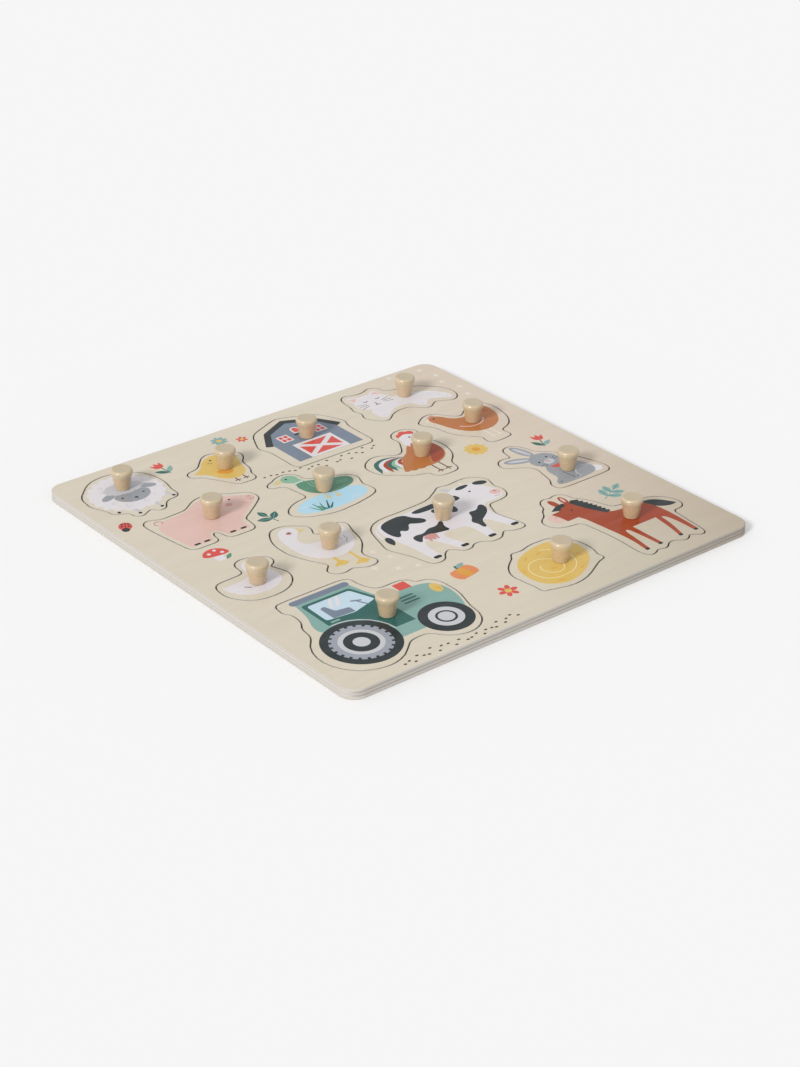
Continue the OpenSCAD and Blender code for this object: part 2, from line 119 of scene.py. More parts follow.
class PUZZLE_PG_wood(bpy.types.PropertyGroup):
    """Colours and sizes of the bare wood."""

    face: colour("Face veneer", "Pale birch between the grain", "D8CEBC")
    figure: colour("Figure", "Darker bands of the rotary-cut veneer", "D4CAB7")
    fleck: colour("Flecks", "Fine pores and flecks along the grain", "C8B69C")
    ply_long: colour("Ply along the grain", "Edge of a ply that shows its long fibres", "C5C0B9")
    ply_end: colour("Ply across the grain", "Edge of a ply that shows its end grain", "ACA69E")
    glue: colour("Glue line", "Thin line between two plies", "8E867B")
    # Painted shade: how much colour is left at the right front corner, where light falls off
    shade: colour("Corner shade", "Share of the colour left at the right front corner", "DEDED8")
    rosy: colour("Right side", "Share of the colour left along the right side", "FEF7F8")
    # Painted shade under the knob's head
    stem_shade: colour("Stem", "Share of the knob's colour left on its stem", "FBF3EC")
    knob: colour("Knob", "Turned beech under lacquer", "C9B698")
    knob_grain: colour("Knob grain", "Darker growth lines of the knob", "C0AC8D")
    knob_end: colour("Knob end grain", "Flat top of the knob, which drinks the lacquer", "BFB298")
    band: length("Figure width", "Width of one band of the face veneer's figure", 9)
    band_run: length("Figure length", "How far a band runs along the grain", 75)
    pore: length("Fleck width", "Width of a fleck", 0.45)
    pore_run: length("Fleck length", "Length of a fleck", 5)
    ring: length("Ring spacing", "Spacing of the growth lines in a knob", 1.6)
    head: length("Knob head", "Height of the knob above its crease", 6.8)
    eased: length("Eased edge", "Radius to which the sawn edges are sanded", 0.35)


class PUZZLE_PG_ink(bpy.types.PropertyGroup):
    """Colours of the printing inks, and how thick and how finely they are laid."""

    white: colour("White", "Fleece, feathers and window frames", "DFDADD")
    cloud: colour("Cloud", "Soft shading on white", "C3C2C8")
    silver: colour("Silver", "Hubs and pale rims", "C7C8CB")
    steel: colour("Steel", "Rim of the big wheel", "9A9FAA")
    grey: colour("Grey", "Rabbit, and the sheep's face", "969A9F")
    slate: colour("Slate", "Barn wall, cab roof and seat", "748192")
    charcoal: colour("Charcoal", "Tyres, barn roof, mane and patches", "1A262A")
    black: colour("Black", "Eyes and hooves", "0D0D0D")
    yellow: colour("Yellow", "Chick, hay and lamp", "DBB961")
    amber: colour("Amber", "Shading on yellow, and dark beaks", "DA9A38")
    cream: colour("Cream", "Lines in the hay", "ECD9A0")
    straw: colour("Straw", "Pale beaks, and the duck's feet", "D6C595")
    ivory: colour("Ivory", "Stars, horns, and the hen's legs", "E4DBCD")
    orange: colour("Orange", "Pumpkin", "DD8952")
    red: colour("Red", "Doors, comb, tulips and toadstool", "D64C42")
    pink: colour("Pink", "Pig", "DEBBB1")
    rose: colour("Rose", "Ears, snout and cheeks", "CB918C")
    rust: colour("Rust", "Hen and rooster", "B8713A")
    brick: colour("Brick", "Horse, and the rooster's breast", "A03C12")
    tan: colour("Tan", "Birds' legs and other small brown marks", "6E4B30")
    soil: colour("Soil", "Small stones along the paths", "504628")
    sky: colour("Sky", "Pond", "AED6E8")
    glass: colour("Glass", "Cab window", "C3D9E6")
    teal: colour("Teal", "Tractor body", "82A9A1")
    leaf: colour("Leaf", "Pale leaves", "81A8A3")
    green: colour("Green", "Duck and feathers", "538A6F")
    mint: colour("Mint", "Duck's head", "86B598")
    pine: colour("Pine", "Window frame, reeds and dark leaves", "236059")
    film: length("Film", "Thickness of one coat of ink", 0.03)
    sunk: length("Bite", "How deep the lowest film reaches into the wood", 0.02)
    eye: length("Eye", "Diameter of a printed eye", 2.1)
    bend_steps: IntProperty(
        name="Steps", description="Steps in each printed corner", default=5, min=2
    )


class PUZZLE_PG_stage(bpy.types.PropertyGroup):
    """Camera, lamps and floor."""

    distance: length("Distance", "Camera to the point it looks at", 1801.3)
    azimuth: angle("Azimuth", "Camera's turn round the board", -39.12)
    elevation: angle("Elevation", "Camera's height above the table", 28.21)
    roll: angle("Roll", "Camera's tilt to the side", 0.117)
    aim: FloatVectorProperty(
        name="Aim", description="Point that the camera looks at",
        default=(-26.1 * MM, -39.7 * MM, BOARD_TOP.z), subtype="TRANSLATION", unit="LENGTH",
    )
    focal: FloatProperty(
        name="Focal length", description=f"In millimetres, on a sensor {SENSOR} mm long",
        default=78.14, min=10,
    )
    floor: colour("Floor", "Pale floor and backdrop", "F6F6F6")
    floor_radius: length("Floor radius", "Radius of the round floor", 6000)
    tooth: length("Paper tooth", "Size of the floor paper's faint mottle", 1.111)
    fade_start: length("Fade start", "Reach at which the floor begins to fade", 240)
    fade_end: length("Fade end", "Reach past which the floor is an even backdrop", 420)
    key: FloatProperty(name="Key", description="Strength of the soft lamp", default=2.08, min=0)
    key_width: angle("Key width", "Angle that the lamp fills, seen from the board", 13.5)
    # The knobs' shadows in the photograph are twice as long as the knobs and fall to the right
    key_side: FloatVectorProperty(
        name="Key side", description="Direction of the lamp from the board",
        default=(-0.83, -0.21, 0.52), subtype="DIRECTION",
    )
    sky: FloatProperty(
        name="Sky", description="Strength of the light all round", default=0.72, min=0
    )


def wood():
    """Settings of the bare wood."""
    return bpy.context.scene.puzzle_wood


def ink_settings():
    """Settings of the printing inks."""
    return bpy.context.scene.puzzle_ink


# Materials


def add_node(tree, kind, inputs=None, **settings):
    """Adds a node. Its inputs are values or sockets, each under a socket's name or number."""
    node = tree.nodes.new(kind)
    for name, value in settings.items():
        setattr(node, name, value)
    for name, value in (inputs or {}).items():
        socket = node.inputs[name]
        if isinstance(value, bpy.types.NodeSocket):
            tree.links.new(value, socket)
        elif socket.type == "RGBA":
            socket.default_value = (*value, 1)
        else:
            socket.default_value = value
    return node


def new_material(name, **shader):
    """Material with a Principled shader; returns it, its tree and the shader."""
    material = bpy.data.materials.new(name)
    material.use_nodes = True
    tree = material.node_tree
    tree.nodes.clear()
    surface = add_node(tree, "ShaderNodeBsdfPrincipled", shader)
    add_node(tree, "ShaderNodeOutputMaterial", {"Surface": surface.outputs["BSDF"]})
    return material, tree, surface


def stretched(tree, run, wide, turn=(0, 0, 0)):
    """Object coordinates scaled so that one unit is run along X and wide across it."""
    place = add_node(tree, "ShaderNodeTexCoord").outputs["Object"]
    scale = (1 / run, 1 / wide, 1 / wide)
    return add_node(
        tree, "ShaderNodeMapping", {"Vector": place, "Rotation": turn, "Scale": scale}
    ).outputs["Vector"]


def figure_and_flecks(tree):
    """Factors for birch: the veneer's broad bands, its flecks, and its fine fibres."""
    settings = wood()
    bands = add_node(
        tree, "ShaderNodeTexNoise",
        {"Vector": stretched(tree, settings.band_run, settings.band), "Scale": 1, "Detail": 4,
         "Distortion": 0.5},
    )
    flecks = add_node(
        tree, "ShaderNodeTexNoise",
        {"Vector": stretched(tree, settings.pore_run, settings.pore), "Scale": 1, "Detail": 1},
    )
    # Only the peaks of this noise are flecks
    fleck_mask = add_node(
        tree, "ShaderNodeMapRange",
        {"Value": flecks.outputs["Fac"], "From Min": 0.62, "From Max": 0.74},
    )
    fibres = add_node(
        tree, "ShaderNodeTexNoise",
        {"Vector": stretched(tree, FIBRE_RUN, FIBRE), "Scale": 1, "Detail": 3},
    )
    return bands.outputs["Fac"], fleck_mask.outputs["Result"], fibres.outputs["Fac"]


def grain_relief(tree, surface, flecks, fibres, deep, base=None):
    """Bump of raised fibres and sunken flecks."""
    dips = add_node(
        tree, "ShaderNodeMath", {0: flecks, 1: -0.6, 2: fibres}, operation="MULTIPLY_ADD"
    )
    relief = add_node(
        tree, "ShaderNodeBump",
        {"Height": dips.outputs[0], "Distance": deep, "Strength": 0.4, **(base or {})},
    )
    tree.links.new(relief.outputs["Normal"], surface.inputs["Normal"])


def ply_edge(tree, place, ends, fibres):
    """Colour of the sawn edge, with the plies and the glue between them read from the height."""
    settings = wood()
    height = add_node(tree, "ShaderNodeSeparateXYZ", {0: place}).outputs["Z"]
    waves = add_node(
        tree, "ShaderNodeTexNoise", {"Vector": place, "Scale": 1 / WANDER_RUN, "Detail": 2}
    )
    wandering = add_node(
        tree, "ShaderNodeMath", {0: waves.outputs["Fac"], 1: WANDER, 2: height},
        operation="MULTIPLY_ADD",
    )
    share = add_node(
        tree, "ShaderNodeMapRange",
        {"Value": wandering.outputs[0], "From Min": BOARD_LOW.z + WANDER / 2,
         "From Max": BOARD_TOP.z + WANDER / 2},
    ).outputs["Result"]
    crossing = add_node(tree, "ShaderNodeValToRGB", {"Fac": share})
    glue = add_node(tree, "ShaderNodeValToRGB", {"Fac": share})
    ply_stops, glue_stops = [], []
    for i, at in enumerate(GLUE_LINES):
        ply_stops += [(at - PLY_BLUR, i % 2), (at + PLY_BLUR, 1 - i % 2)]
        glue_stops += [(at - GLUE_REACH, 0), (at, 1), (at + GLUE_REACH, 0)]
    for ramp, stops in ((crossing.color_ramp, ply_stops), (glue.color_ramp, glue_stops)):
        while len(ramp.elements) < len(stops):
            ramp.elements.new(0.5)
        for element, (at, value) in zip(ramp.elements, stops):
            element.position = at
            element.color = (value, value, value, 1)
    # The end sides show the other plies' end grain, and more faintly
    other = add_node(
        tree, "ShaderNodeMapRange",
        {"Value": crossing.outputs["Color"], "To Min": 0.45, "To Max": 0.1},
    ).outputs["Result"]
    # A Mix of two numbers has them in its sockets 2 and 3
    plies = add_node(
        tree, "ShaderNodeMix", {SHARE: ends, 2: crossing.outputs["Color"], 3: other},
        data_type="FLOAT",
    ).outputs[0]
    # Fibres roughen the plies to both sides of their own tone
    fuzzy = add_node(
        tree, "ShaderNodeMath", {0: fibres, 1: 0.35, 2: plies}, operation="MULTIPLY_ADD"
    )
    settled = add_node(
        tree, "ShaderNodeMath", {0: fuzzy.outputs[0], 1: 0.17}, operation="SUBTRACT", use_clamp=True
    )
    edge = add_node(
        tree, "ShaderNodeMix",
        {SHARE: settled.outputs[0], FROM: settings.ply_long, TO: settings.ply_end},
        data_type="RGBA",
    ).outputs[MIXED]
    # The glue is so thin that about a third of its colour shows
    thin = add_node(
        tree, "ShaderNodeMath", {0: glue.outputs["Color"], 1: 0.35}, operation="MULTIPLY"
    )
    return add_node(
        tree, "ShaderNodeMix", {SHARE: thin.outputs[0], FROM: edge, TO: settings.glue},
        data_type="RGBA",
    ).outputs[MIXED]


def birch_plywood():
    """Birch plywood, rotary-cut, sanded and sealed with a clear satin lacquer.

    To the eye: an even pale cream with broad soft bands, fine flecks along the grain, a soft
    gloss in which the knobs are mirrored faintly, and edges that show the plies.
    """
    settings = wood()
    material, tree, surface = new_material(
        "Birch plywood, lacquered", **{"Specular IOR Level": 0.25}
    )
    bands, flecks, fibres = figure_and_flecks(tree)
    spread = add_node(
        tree, "ShaderNodeMapRange", {"Value": bands, "From Min": 0.35, "From Max": 0.68}
    )
    face = add_node(
        tree, "ShaderNodeMix",
        {SHARE: spread.outputs["Result"], FROM: settings.face, TO: settings.figure},
        data_type="RGBA",
    ).outputs[MIXED]
    # Sanding leaves a quarter of the flecks' colour
    faint = add_node(tree, "ShaderNodeMath", {0: flecks, 1: 0.25}, operation="MULTIPLY")
    face = add_node(
        tree, "ShaderNodeMix", {SHARE: faint.outputs[0], FROM: face, TO: settings.fleck},
        data_type="RGBA",
    ).outputs[MIXED]

    # Which way the surface faces tells the face from the edges, and end sides from long ones
    normal = add_node(tree, "ShaderNodeNewGeometry").outputs["Normal"]
    facing = add_node(tree, "ShaderNodeSeparateXYZ", {0: normal}).outputs
    sideways = add_node(tree, "ShaderNodeMath", {0: facing["X"]}, operation="ABSOLUTE")
    ends = add_node(
        tree, "ShaderNodeMapRange",
        {"Value": sideways.outputs[0], "From Min": 0.5, "From Max": 0.85},
    )
    upright = add_node(tree, "ShaderNodeMath", {0: facing["Z"]}, operation="ABSOLUTE")
    flat = add_node(
        tree, "ShaderNodeMapRange",
        {"Value": upright.outputs[0], "From Min": 0.86, "From Max": 0.96},
    ).outputs["Result"]
    place = add_node(tree, "ShaderNodeTexCoord").outputs["Object"]
    edge = ply_edge(tree, place, ends.outputs["Result"], fibres)
    whole = add_node(
        tree, "ShaderNodeMix", {SHARE: flat, FROM: edge, TO: face}, data_type="RGBA"
    ).outputs[MIXED]

    # Painted shade darkens the right front corner; along the right the veneer is a bit rosier
    spot = add_node(tree, "ShaderNodeSeparateXYZ", {0: place}).outputs
    corner = add_node(tree, "ShaderNodeMath", {0: spot["X"], 1: spot["Y"]}, operation="SUBTRACT")
    half = BOARD_TOP.x
    for reach, start, end, shade in (
        (corner.outputs[0], 0.8 * half, 1.95 * half, settings.shade),
        (spot["X"], 0.45 * half, 0.95 * half, settings.rosy),
    ):
        share = add_node(
            tree, "ShaderNodeMapRange", {"Value": reach, "From Min": start, "From Max": end}
        )
        whole = add_node(
            tree, "ShaderNodeMix", {SHARE: share.outputs["Result"], FROM: whole, TO: shade},
            data_type="RGBA", blend_type="MULTIPLY",
        ).outputs[MIXED]
    tree.links.new(whole, surface.inputs["Base Color"])

    # Sawn edges are rougher than the sanded and lacquered face
    rough = add_node(tree, "ShaderNodeMapRange", {"Value": flat, "To Min": 0.62, "To Max": 0.17})
    uneven = add_node(
        tree, "ShaderNodeMath", {0: bands, 1: 0.08, 2: rough.outputs["Result"]},
        operation="MULTIPLY_ADD",
    )
    tree.links.new(uneven.outputs[0], surface.inputs["Roughness"])
    eased = add_node(tree, "ShaderNodeBevel", {"Radius": settings.eased}, samples=6)
    grain_relief(
        tree, surface, flecks, fibres, deep=0.012 * MM, base={"Normal": eased.outputs["Normal"]}
    )
    return material


def turned_beech():
    """Beech, turned on a lathe and dipped in a clear gloss lacquer.

    To the eye: a warm honey tone with upright growth lines and short dark flecks, a small bright
    highlight on the shoulder, and a flat top that is duller and a little darker.
    """
    settings = wood()
    material, tree, surface = new_material(
        "Turned beech, lacquered", **{"Coat Weight": 0.6, "Coat Roughness": 0.2}
    )
    upright = (0, math.radians(90), 0)
    lines = add_node(
        tree, "ShaderNodeTexNoise",
        {"Vector": stretched(tree, LINE_RUN, settings.ring, upright), "Scale": 1, "Detail": 3,
         "Distortion": 0.3},
    ).outputs["Fac"]
    spread = add_node(
        tree, "ShaderNodeMapRange", {"Value": lines, "From Min": 0.38, "From Max": 0.66}
    )
    body = add_node(
        tree, "ShaderNodeMix",
        {SHARE: spread.outputs["Result"], FROM: settings.knob, TO: settings.knob_grain},
        data_type="RGBA",
    ).outputs[MIXED]
    rays = add_node(
        tree, "ShaderNodeTexNoise",
        {"Vector": stretched(tree, RAY_RUN, FIBRE, upright), "Scale": 1, "Detail": 1},
    )
    flecks = add_node(
        tree, "ShaderNodeMapRange",
        {"Value": rays.outputs["Fac"], "From Min": 0.66, "From Max": 0.76, "To Max": 0.45},
    )
    body = add_node(
        tree, "ShaderNodeMix",
        {SHARE: flecks.outputs["Result"], FROM: body, TO: settings.knob_grain},
        data_type="RGBA",
    ).outputs[MIXED]

    # Painted shade: below the crease, under the head, the knob is made darker and a touch warmer
    place = add_node(tree, "ShaderNodeTexCoord").outputs["Object"]
    height = add_node(tree, "ShaderNodeSeparateXYZ", {0: place}).outputs["Z"]
    crease = KNOB_TOP.z - settings.head
    stem_shade = add_node(
        tree, "ShaderNodeMapRange",
        {"Value": height, "From Min": crease - 0.4 * MM, "From Max": crease + 0.6 * MM,
         "To Min": 1, "To Max": 0},
    )
    body = add_node(
        tree, "ShaderNodeMix", {SHARE: stem_shade.outputs["Result"], FROM: body, TO: settings.stem_shade},
        data_type="RGBA", blend_type="MULTIPLY",
    ).outputs[MIXED]

    # The flat top shows end grain
    normal = add_node(tree, "ShaderNodeNewGeometry").outputs["Normal"]
    up = add_node(tree, "ShaderNodeSeparateXYZ", {0: normal}).outputs["Z"]
    top = add_node(
        tree, "ShaderNodeMapRange", {"Value": up, "From Min": 0.8, "From Max": 0.97}
    ).outputs["Result"]
    pores = add_node(
        tree, "ShaderNodeTexNoise",
        {"Vector": stretched(tree, END_PORE, END_PORE), "Scale": 1, "Detail": 2},
    )
    end = add_node(
        tree, "ShaderNodeMix",
        {SHARE: pores.outputs["Fac"], FROM: settings.knob_end, TO: settings.knob_grain},
        data_type="RGBA",
    ).outputs[MIXED]
    whole = add_node(
        tree, "ShaderNodeMix", {SHARE: top, FROM: body, TO: end}, data_type="RGBA"
    ).outputs[MIXED]
    tree.links.new(whole, surface.inputs["Base Color"])
    rough = add_node(tree, "ShaderNodeMapRange", {"Value": top, "To Min": 0.3, "To Max": 0.5})
    tree.links.new(rough.outputs["Result"], surface.inputs["Roughness"])

    # Rings of the lathe tool; a wave texture repeats every 0.31 of its units
    rings = add_node(
        tree, "ShaderNodeTexWave",
        {"Vector": place, "Scale": 0.31 / TOOL_RING, "Distortion": 0.6, "Detail": 1},
        wave_type="BANDS", bands_direction="Z",
    )
    rises = add_node(
        tree, "ShaderNodeMath", {0: rings.outputs["Fac"], 1: 0.25, 2: lines},
        operation="MULTIPLY_ADD",
    )
    relief = add_node(
        tree, "ShaderNodeBump",
        {"Height": rises.outputs[0], "Distance": 0.015 * MM, "Strength": 0.5},
    )
    tree.links.new(relief.outputs["Normal"], surface.inputs["Normal"])
    return material


def ink_on_birch(name, title):
    """Screen ink on birch under the same clear lacquer.

    To the eye: a flat, slightly chalky colour, uneven where the wood drinks it, with the veneer's
    flecks just showing through.
    """
    ink = getattr(ink_settings(), name)
    material, tree, surface = new_material(title, **{"Specular IOR Level": 0.25})
    bands, flecks, fibres = figure_and_flecks(tree)
    # The ink is palest where the wood drinks it, and darkest in the flecks
    paler = [c + (1 - c) * 0.02 for c in ink]
    darker, darkest = ([c * share for c in ink] for share in (0.97, 0.86))
    drunk = add_node(
        tree, "ShaderNodeMapRange", {"Value": bands, "From Min": 0.3, "From Max": 0.7}
    )
    body = add_node(
        tree, "ShaderNodeMix", {SHARE: drunk.outputs["Result"], FROM: paler, TO: darker},
        data_type="RGBA",
    ).outputs[MIXED]
    faint = add_node(tree, "ShaderNodeMath", {0: flecks, 1: 0.35}, operation="MULTIPLY")
    body = add_node(
        tree, "ShaderNodeMix", {SHARE: faint.outputs[0], FROM: body, TO: darkest},
        data_type="RGBA",
    ).outputs[MIXED]
    tree.links.new(body, surface.inputs["Base Color"])
    rough = add_node(tree, "ShaderNodeMapRange", {"Value": bands, "To Min": 0.17, "To Max": 0.26})
    tree.links.new(rough.outputs["Result"], surface.inputs["Roughness"])
    grain_relief(tree, surface, flecks, fibres, deep=0.01 * MM)
    return material


def ink_material(name):
    """The ink of that name, made once."""
    title = name.capitalize() + " ink on birch"
    return bpy.data.materials.get(title) or ink_on_birch(name, title)


# Drawing with films of ink


def turned(x, y, degrees):
    """Plan vector turned anticlockwise."""
    return Matrix.Rotation(math.radians(degrees), 2) @ Vector((x, y))


class Picture:
    """Films of ink that make one picture. A later coat stands higher than those under it."""

    def __init__(self, name):
        self.name = name
        self.mesh = bmesh.new()
        self.inks = []
        self.known = set()
        self.place = Matrix()

    def at(self, x=0, y=0, turn=0):
        """What is drawn next has its origin here, turned anticlockwise by degrees."""
        self.place = (
            Matrix.Translation((x * MM, y * MM, 0)) @ Matrix.Rotation(math.radians(turn), 4, "Z")
        )

    def film(self, ink, coat):
        """Raises the flat faces made since the last film into a closed film of ink."""
        settings = ink_settings()
        if ink not in self.inks:
            self.inks.append(ink)
        flat = [f for f in self.mesh.faces if f not in self.known]
        low = list({v for f in flat for v in f.verts})
        bmesh.ops.transform(self.mesh, matrix=self.place, verts=low)
        raised = bmesh.ops.extrude_face_region(self.mesh, geom=flat)["geom"]
        high = [v for v in raised if isinstance(v, bmesh.types.BMVert)]
        thick = settings.sunk + coat * settings.film
        bmesh.ops.translate(self.mesh, verts=high, vec=(0, 0, thick))
        for face in self.mesh.faces:
            if face not in self.known:
                face.material_index = self.inks.index(ink)
                self.known.add(face)

    def shape(self, corners, ink, coat=1, bend=48, radius=0):
        """Outline through a few corners, which bend by a percentage of their sides or by a radius.

        A corner with a third entry stays sharp.
        """
        verts = [self.mesh.verts.new((c[0] * MM, c[1] * MM, 0)) for c in corners]
        self.mesh.faces.new(verts)
        soft = [v for v, c in zip(verts, corners) if len(c) == 2]
        if soft:
            bmesh.ops.bevel(
                self.mesh, geom=soft, offset=radius * MM if radius else bend,
                offset_type="OFFSET" if radius else "PERCENT", affect="VERTICES",
                segments=ink_settings().bend_steps, profile=0.5, material=-1, clamp_overlap=True,
            )
        self.film(ink, coat)

    def panel(self, corners, ink, coat=1):
        """Outline with sharp corners."""
        self.shape([(x, y, 0) for x, y in corners], ink, coat)

    def box(self, x, y, wide, high, ink, coat=1):
        """Rectangle about its middle."""
        a, b = wide / 2, high / 2
        self.panel([(x - a, y - b), (x - a, y + b), (x + a, y + b), (x + a, y - b)], ink, coat)

    def disc(self, x, y, wide, high, ink, coat=1, turn=0):
        """Ellipse, turned anticlockwise by degrees."""
        place = (
            Matrix.Translation((x * MM, y * MM, 0))
            @ Matrix.Rotation(math.radians(turn), 4, "Z")
            @ Matrix.Diagonal((wide * MM, high * MM, 1, 1))
        )
        # A larger disc has more sides, in eights
        steps = 8 * math.ceil(1 + math.sqrt(max(wide, high)) * 0.75)
        bmesh.ops.create_circle(self.mesh, cap_ends=True, radius=0.5, segments=steps, matrix=place)
        self.film(ink, coat)

    def wheel(self, discs, coat):
        """Round discs about the origin, each a coat above the one before."""
        for i, (size, ink) in enumerate(discs):
            self.disc(0, 0, size, size, ink, coat + i)

    def hooves(self, spots, wide, high, coat):
        """Black bars with rounded ends, each level and about its own middle."""
        for x, y in spots:
            self.bar((x - wide / 2, y), (x + wide / 2, y), high, "black", coat)

    def bar(self, start, end, wide, ink, coat=1, narrow=None):
        """Straight bar with rounded ends, which may taper."""
        narrow = narrow or wide
        start, end = Vector(start), Vector(end)
        across = (end - start).orthogonal().normalized() / 2
        corners = [start + across * wide, end + across * narrow]
        corners += [end - across * narrow, start - across * wide]
        self.shape(corners, ink, coat, radius=min(wide, narrow) * 0.45)

    def stroke(self, x, y, heading, moves, ink, coat, wide):
        """Line of even width: each move is (length, 0), or (radius, degrees to the left)."""
        here = Vector((x, y, 0)) * MM
        ahead = Matrix.Rotation(math.radians(heading), 3, "Z") @ Vector((1, 0, 0))
        half = wide * MM / 2
        left = Vector((-ahead.y, ahead.x, 0))
        ends = [self.mesh.verts.new(here + left * half * side) for side in (1, -1)]
        edge = self.mesh.edges.new(ends)
        for reach, sweep in moves:
            left = Vector((-ahead.y, ahead.x, 0))
            if sweep:
                side = math.copysign(1, sweep)
                centre = here + left * side * reach * MM
                last = bmesh.ops.spin(
                    self.mesh, geom=[*ends, edge], cent=centre, axis=(0, 0, side),
                    angle=math.radians(abs(sweep)), steps=math.ceil(abs(sweep) / STROKE_STEP),
                )["geom_last"]
                swing = Matrix.Rotation(math.radians(sweep), 3, "Z")
                here = centre + swing @ (here - centre)
                ahead = swing @ ahead
            else:
                last = bmesh.ops.extrude_edge_only(self.mesh, edges=[edge])["geom"]
                moved = [v for v in last if isinstance(v, bmesh.types.BMVert)]
                bmesh.ops.translate(self.mesh, verts=moved, vec=ahead * reach * MM)
                here = here + ahead * reach * MM
            ends = [v for v in last if isinstance(v, bmesh.types.BMVert)]
            edges = [e for e in last if isinstance(e, bmesh.types.BMEdge)]
            edge = next(e for e in edges if set(e.verts) == set(ends))
        self.film(ink, coat)

    def puff(self, x, y, wide, high, bumps, ink, coat, dent):
        """Ellipse with a scalloped edge, which comes in to the share dent between two bumps."""
        corners = []
        for i in range(bumps):
            for share, out in ((0, dent), (0.28, 1.05), (0.72, 1.05)):
                a = math.tau * (i + share) / bumps
                spot = (x + wide / 2 * out * math.cos(a), y + high / 2 * out * math.sin(a))
                corners.append((*spot, 0) if share == 0 else spot)
        self.shape(corners, ink, coat)

    def eye(self, x, y, coat=4):
        """Printed eye."""
        size = ink_settings().eye / MM
        self.disc(x, y, size, size, "black", coat)

    def leaf(self, x, y, long, wide, turn, ink, vein=None, coat=1):
        """Pointed leaf from its stalk's end, with a vein where one is named."""
        shares = ((0, 0, 0), (0.35, 0.5), (0.7, 0.42), (1, 0, 0), (0.7, -0.42), (0.35, -0.5))
        placed = []
        for along, across, *sharp in shares:
            spot = Vector((x, y)) + turned(long * along, wide * across, turn)
            placed.append((*spot, *sharp))
        self.shape(placed, ink, coat)
        if vein:
            self.stroke(x, y, turn, [(long * 0.8, 0)], vein, coat + 1, wide=0.5)

    def bird_leg(self, x, top, foot, ink, wide):
        """Leg with three toes, each toe a coat above the last."""
        self.stroke(x, top, -90, [(top - foot, 0)], ink, 1, wide)
        for i, turn in enumerate((-155, -90, -25)):
            self.stroke(x, foot + 0.6, turn, [(wide * 2.6, 0)], ink, 2 + i, wide * 0.85)

    def lay_on(self, node, body):
        """Lays the picture on the top of a node, riding on that node's body."""
        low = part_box(node)[1].z - ink_settings().sunk
        bmesh.ops.translate(self.mesh, verts=self.mesh.verts, vec=(0, 0, low))
        bmesh.ops.recalc_face_normals(self.mesh, faces=self.mesh.faces)
        data = bpy.data.meshes.new(self.name)
        self.mesh.to_mesh(data)
        self.mesh.free()
        for ink in self.inks:
            data.materials.append(ink_material(ink))
        piece = bpy.data.objects.new(self.name, data)
        bpy.context.scene.collection.objects.link(piece)
        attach(piece, body)
        return {"FINISHED"}


# Wood


def dress(material, nodes):
    """Gives CAD nodes one material."""
    for name in nodes:
        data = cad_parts[name].data
        data.materials.clear()
        data.materials.append(material)


class PUZZLE_OT_board(bpy.types.Operator):
    """Plywood of the board and of the plaques sawn from it"""

    bl_idname = "puzzle.board"
    bl_label = "Plywood"

    def execute(self, context):
        dress(birch_plywood(), ["top_panel", "back_panel", *PIECES])
        return {"FINISHED"}


class PUZZLE_OT_knobs(bpy.types.Operator):
    """Lacquered wood of the fifteen turned knobs"""

    bl_idname = "puzzle.knobs"
    bl_label = "Knobs"

    def execute(self, context):
        dress(turned_beech(), [name + "_knob" for name in PIECES])
        return {"FINISHED"}


# Prints


class PUZZLE_OT_sheep(bpy.types.Operator):
    """Print of the sheep"""

    bl_idname = "puzzle.sheep"
    bl_label = "Sheep"

    def execute(self, context):
        picture = Picture("sheep_print")
        legs = ((-174, 130, 40), (-163, 120.5, 12), (-144.5, 119.5, -8), (-128.5, 129, -35))
        for x, y, lean in legs:
            foot = Vector((x, y)) + turned(0, -4.5, -lean)
            picture.bar((x, y + 4), foot, 3, "cloud", narrow=2.4)
            picture.disc(*foot, 3, 3, "black", 2)
        picture.puff(-153.5, 152, 62, 60, 20, "white", 4, dent=0.96)
        for x, y, turn in (
            (-172, 163, 40), (-168, 173, 0), (-140, 175, -30), (-131, 165, -60),
            (-172, 139, 150), (-163, 130, 190), (-146, 129, 200), (-135, 138, 240),
        ):
            picture.stroke(x, y, turn, [(2.6, -200)], "cloud", 5, 0.5)
        # Face, drawn about its own middle
        picture.at(-151.5)
        for side in (-1, 1):
            picture.disc(18.5 * side, 153, 15, 7.6, "grey", 5, -24 * side)
        picture.shape(
            [(-16, 152), (0, 156), (16, 152), (16, 143), (9, 136), (0, 134), (-9, 136), (-16, 143)],
            "grey", 6,
        )
        picture.puff(0, 160.5, 35, 20, 10, "cloud", 7, dent=0.94)
        for side in (-1, 1):
            picture.eye(10 * side, 145.5, 7)
        picture.disc(0, 140.8, 3.6, 2.2, "charcoal", 7)
        picture.stroke(0, 139.6, -90, [(2, 0)], "charcoal", 8, 0.7)
        return picture.lay_on("sheep", "sheep_piece")


class PUZZLE_OT_chick(bpy.types.Operator):
    """Print of the chick"""

    bl_idname = "puzzle.chick"
    bl_label = "Chick"

    def execute(self, context):
        picture = Picture("chick_print")
        picture.shape([(-48.5, 156, 0), (-44, 151.5), (-49.5, 148.5, 0)], "amber", 1)
        picture.shape(
            [(-93.5, 144, 0), (-83, 149), (-78, 157), (-68, 164.5), (-56, 164), (-48, 156),
             (-47, 146), (-52, 137), (-53, 127), (-61, 119), (-72, 118.5), (-80, 126), (-84, 137)],
            "yellow", 2,
        )
        # Amber patch at the knob's foot: partly the chick's wing, partly painted reflection and
        # shade of the knob
        picture.shape(
            [(-78, 137.5), (-69, 139), (-62, 134.5), (-64, 128.5), (-73, 128.5)], "amber", 3,
        )
        picture.eye(-68, 157.5)
        for x, y in ((-72.4, 154), (-70.6, 152.6)):
            picture.disc(x, y, 1.2, 1.2, "tan", 3)
        for x in (-70, -62):
            picture.bird_leg(x, 121, 114.8, "tan", 1.2)
        return picture.lay_on("chick", "chick_piece")


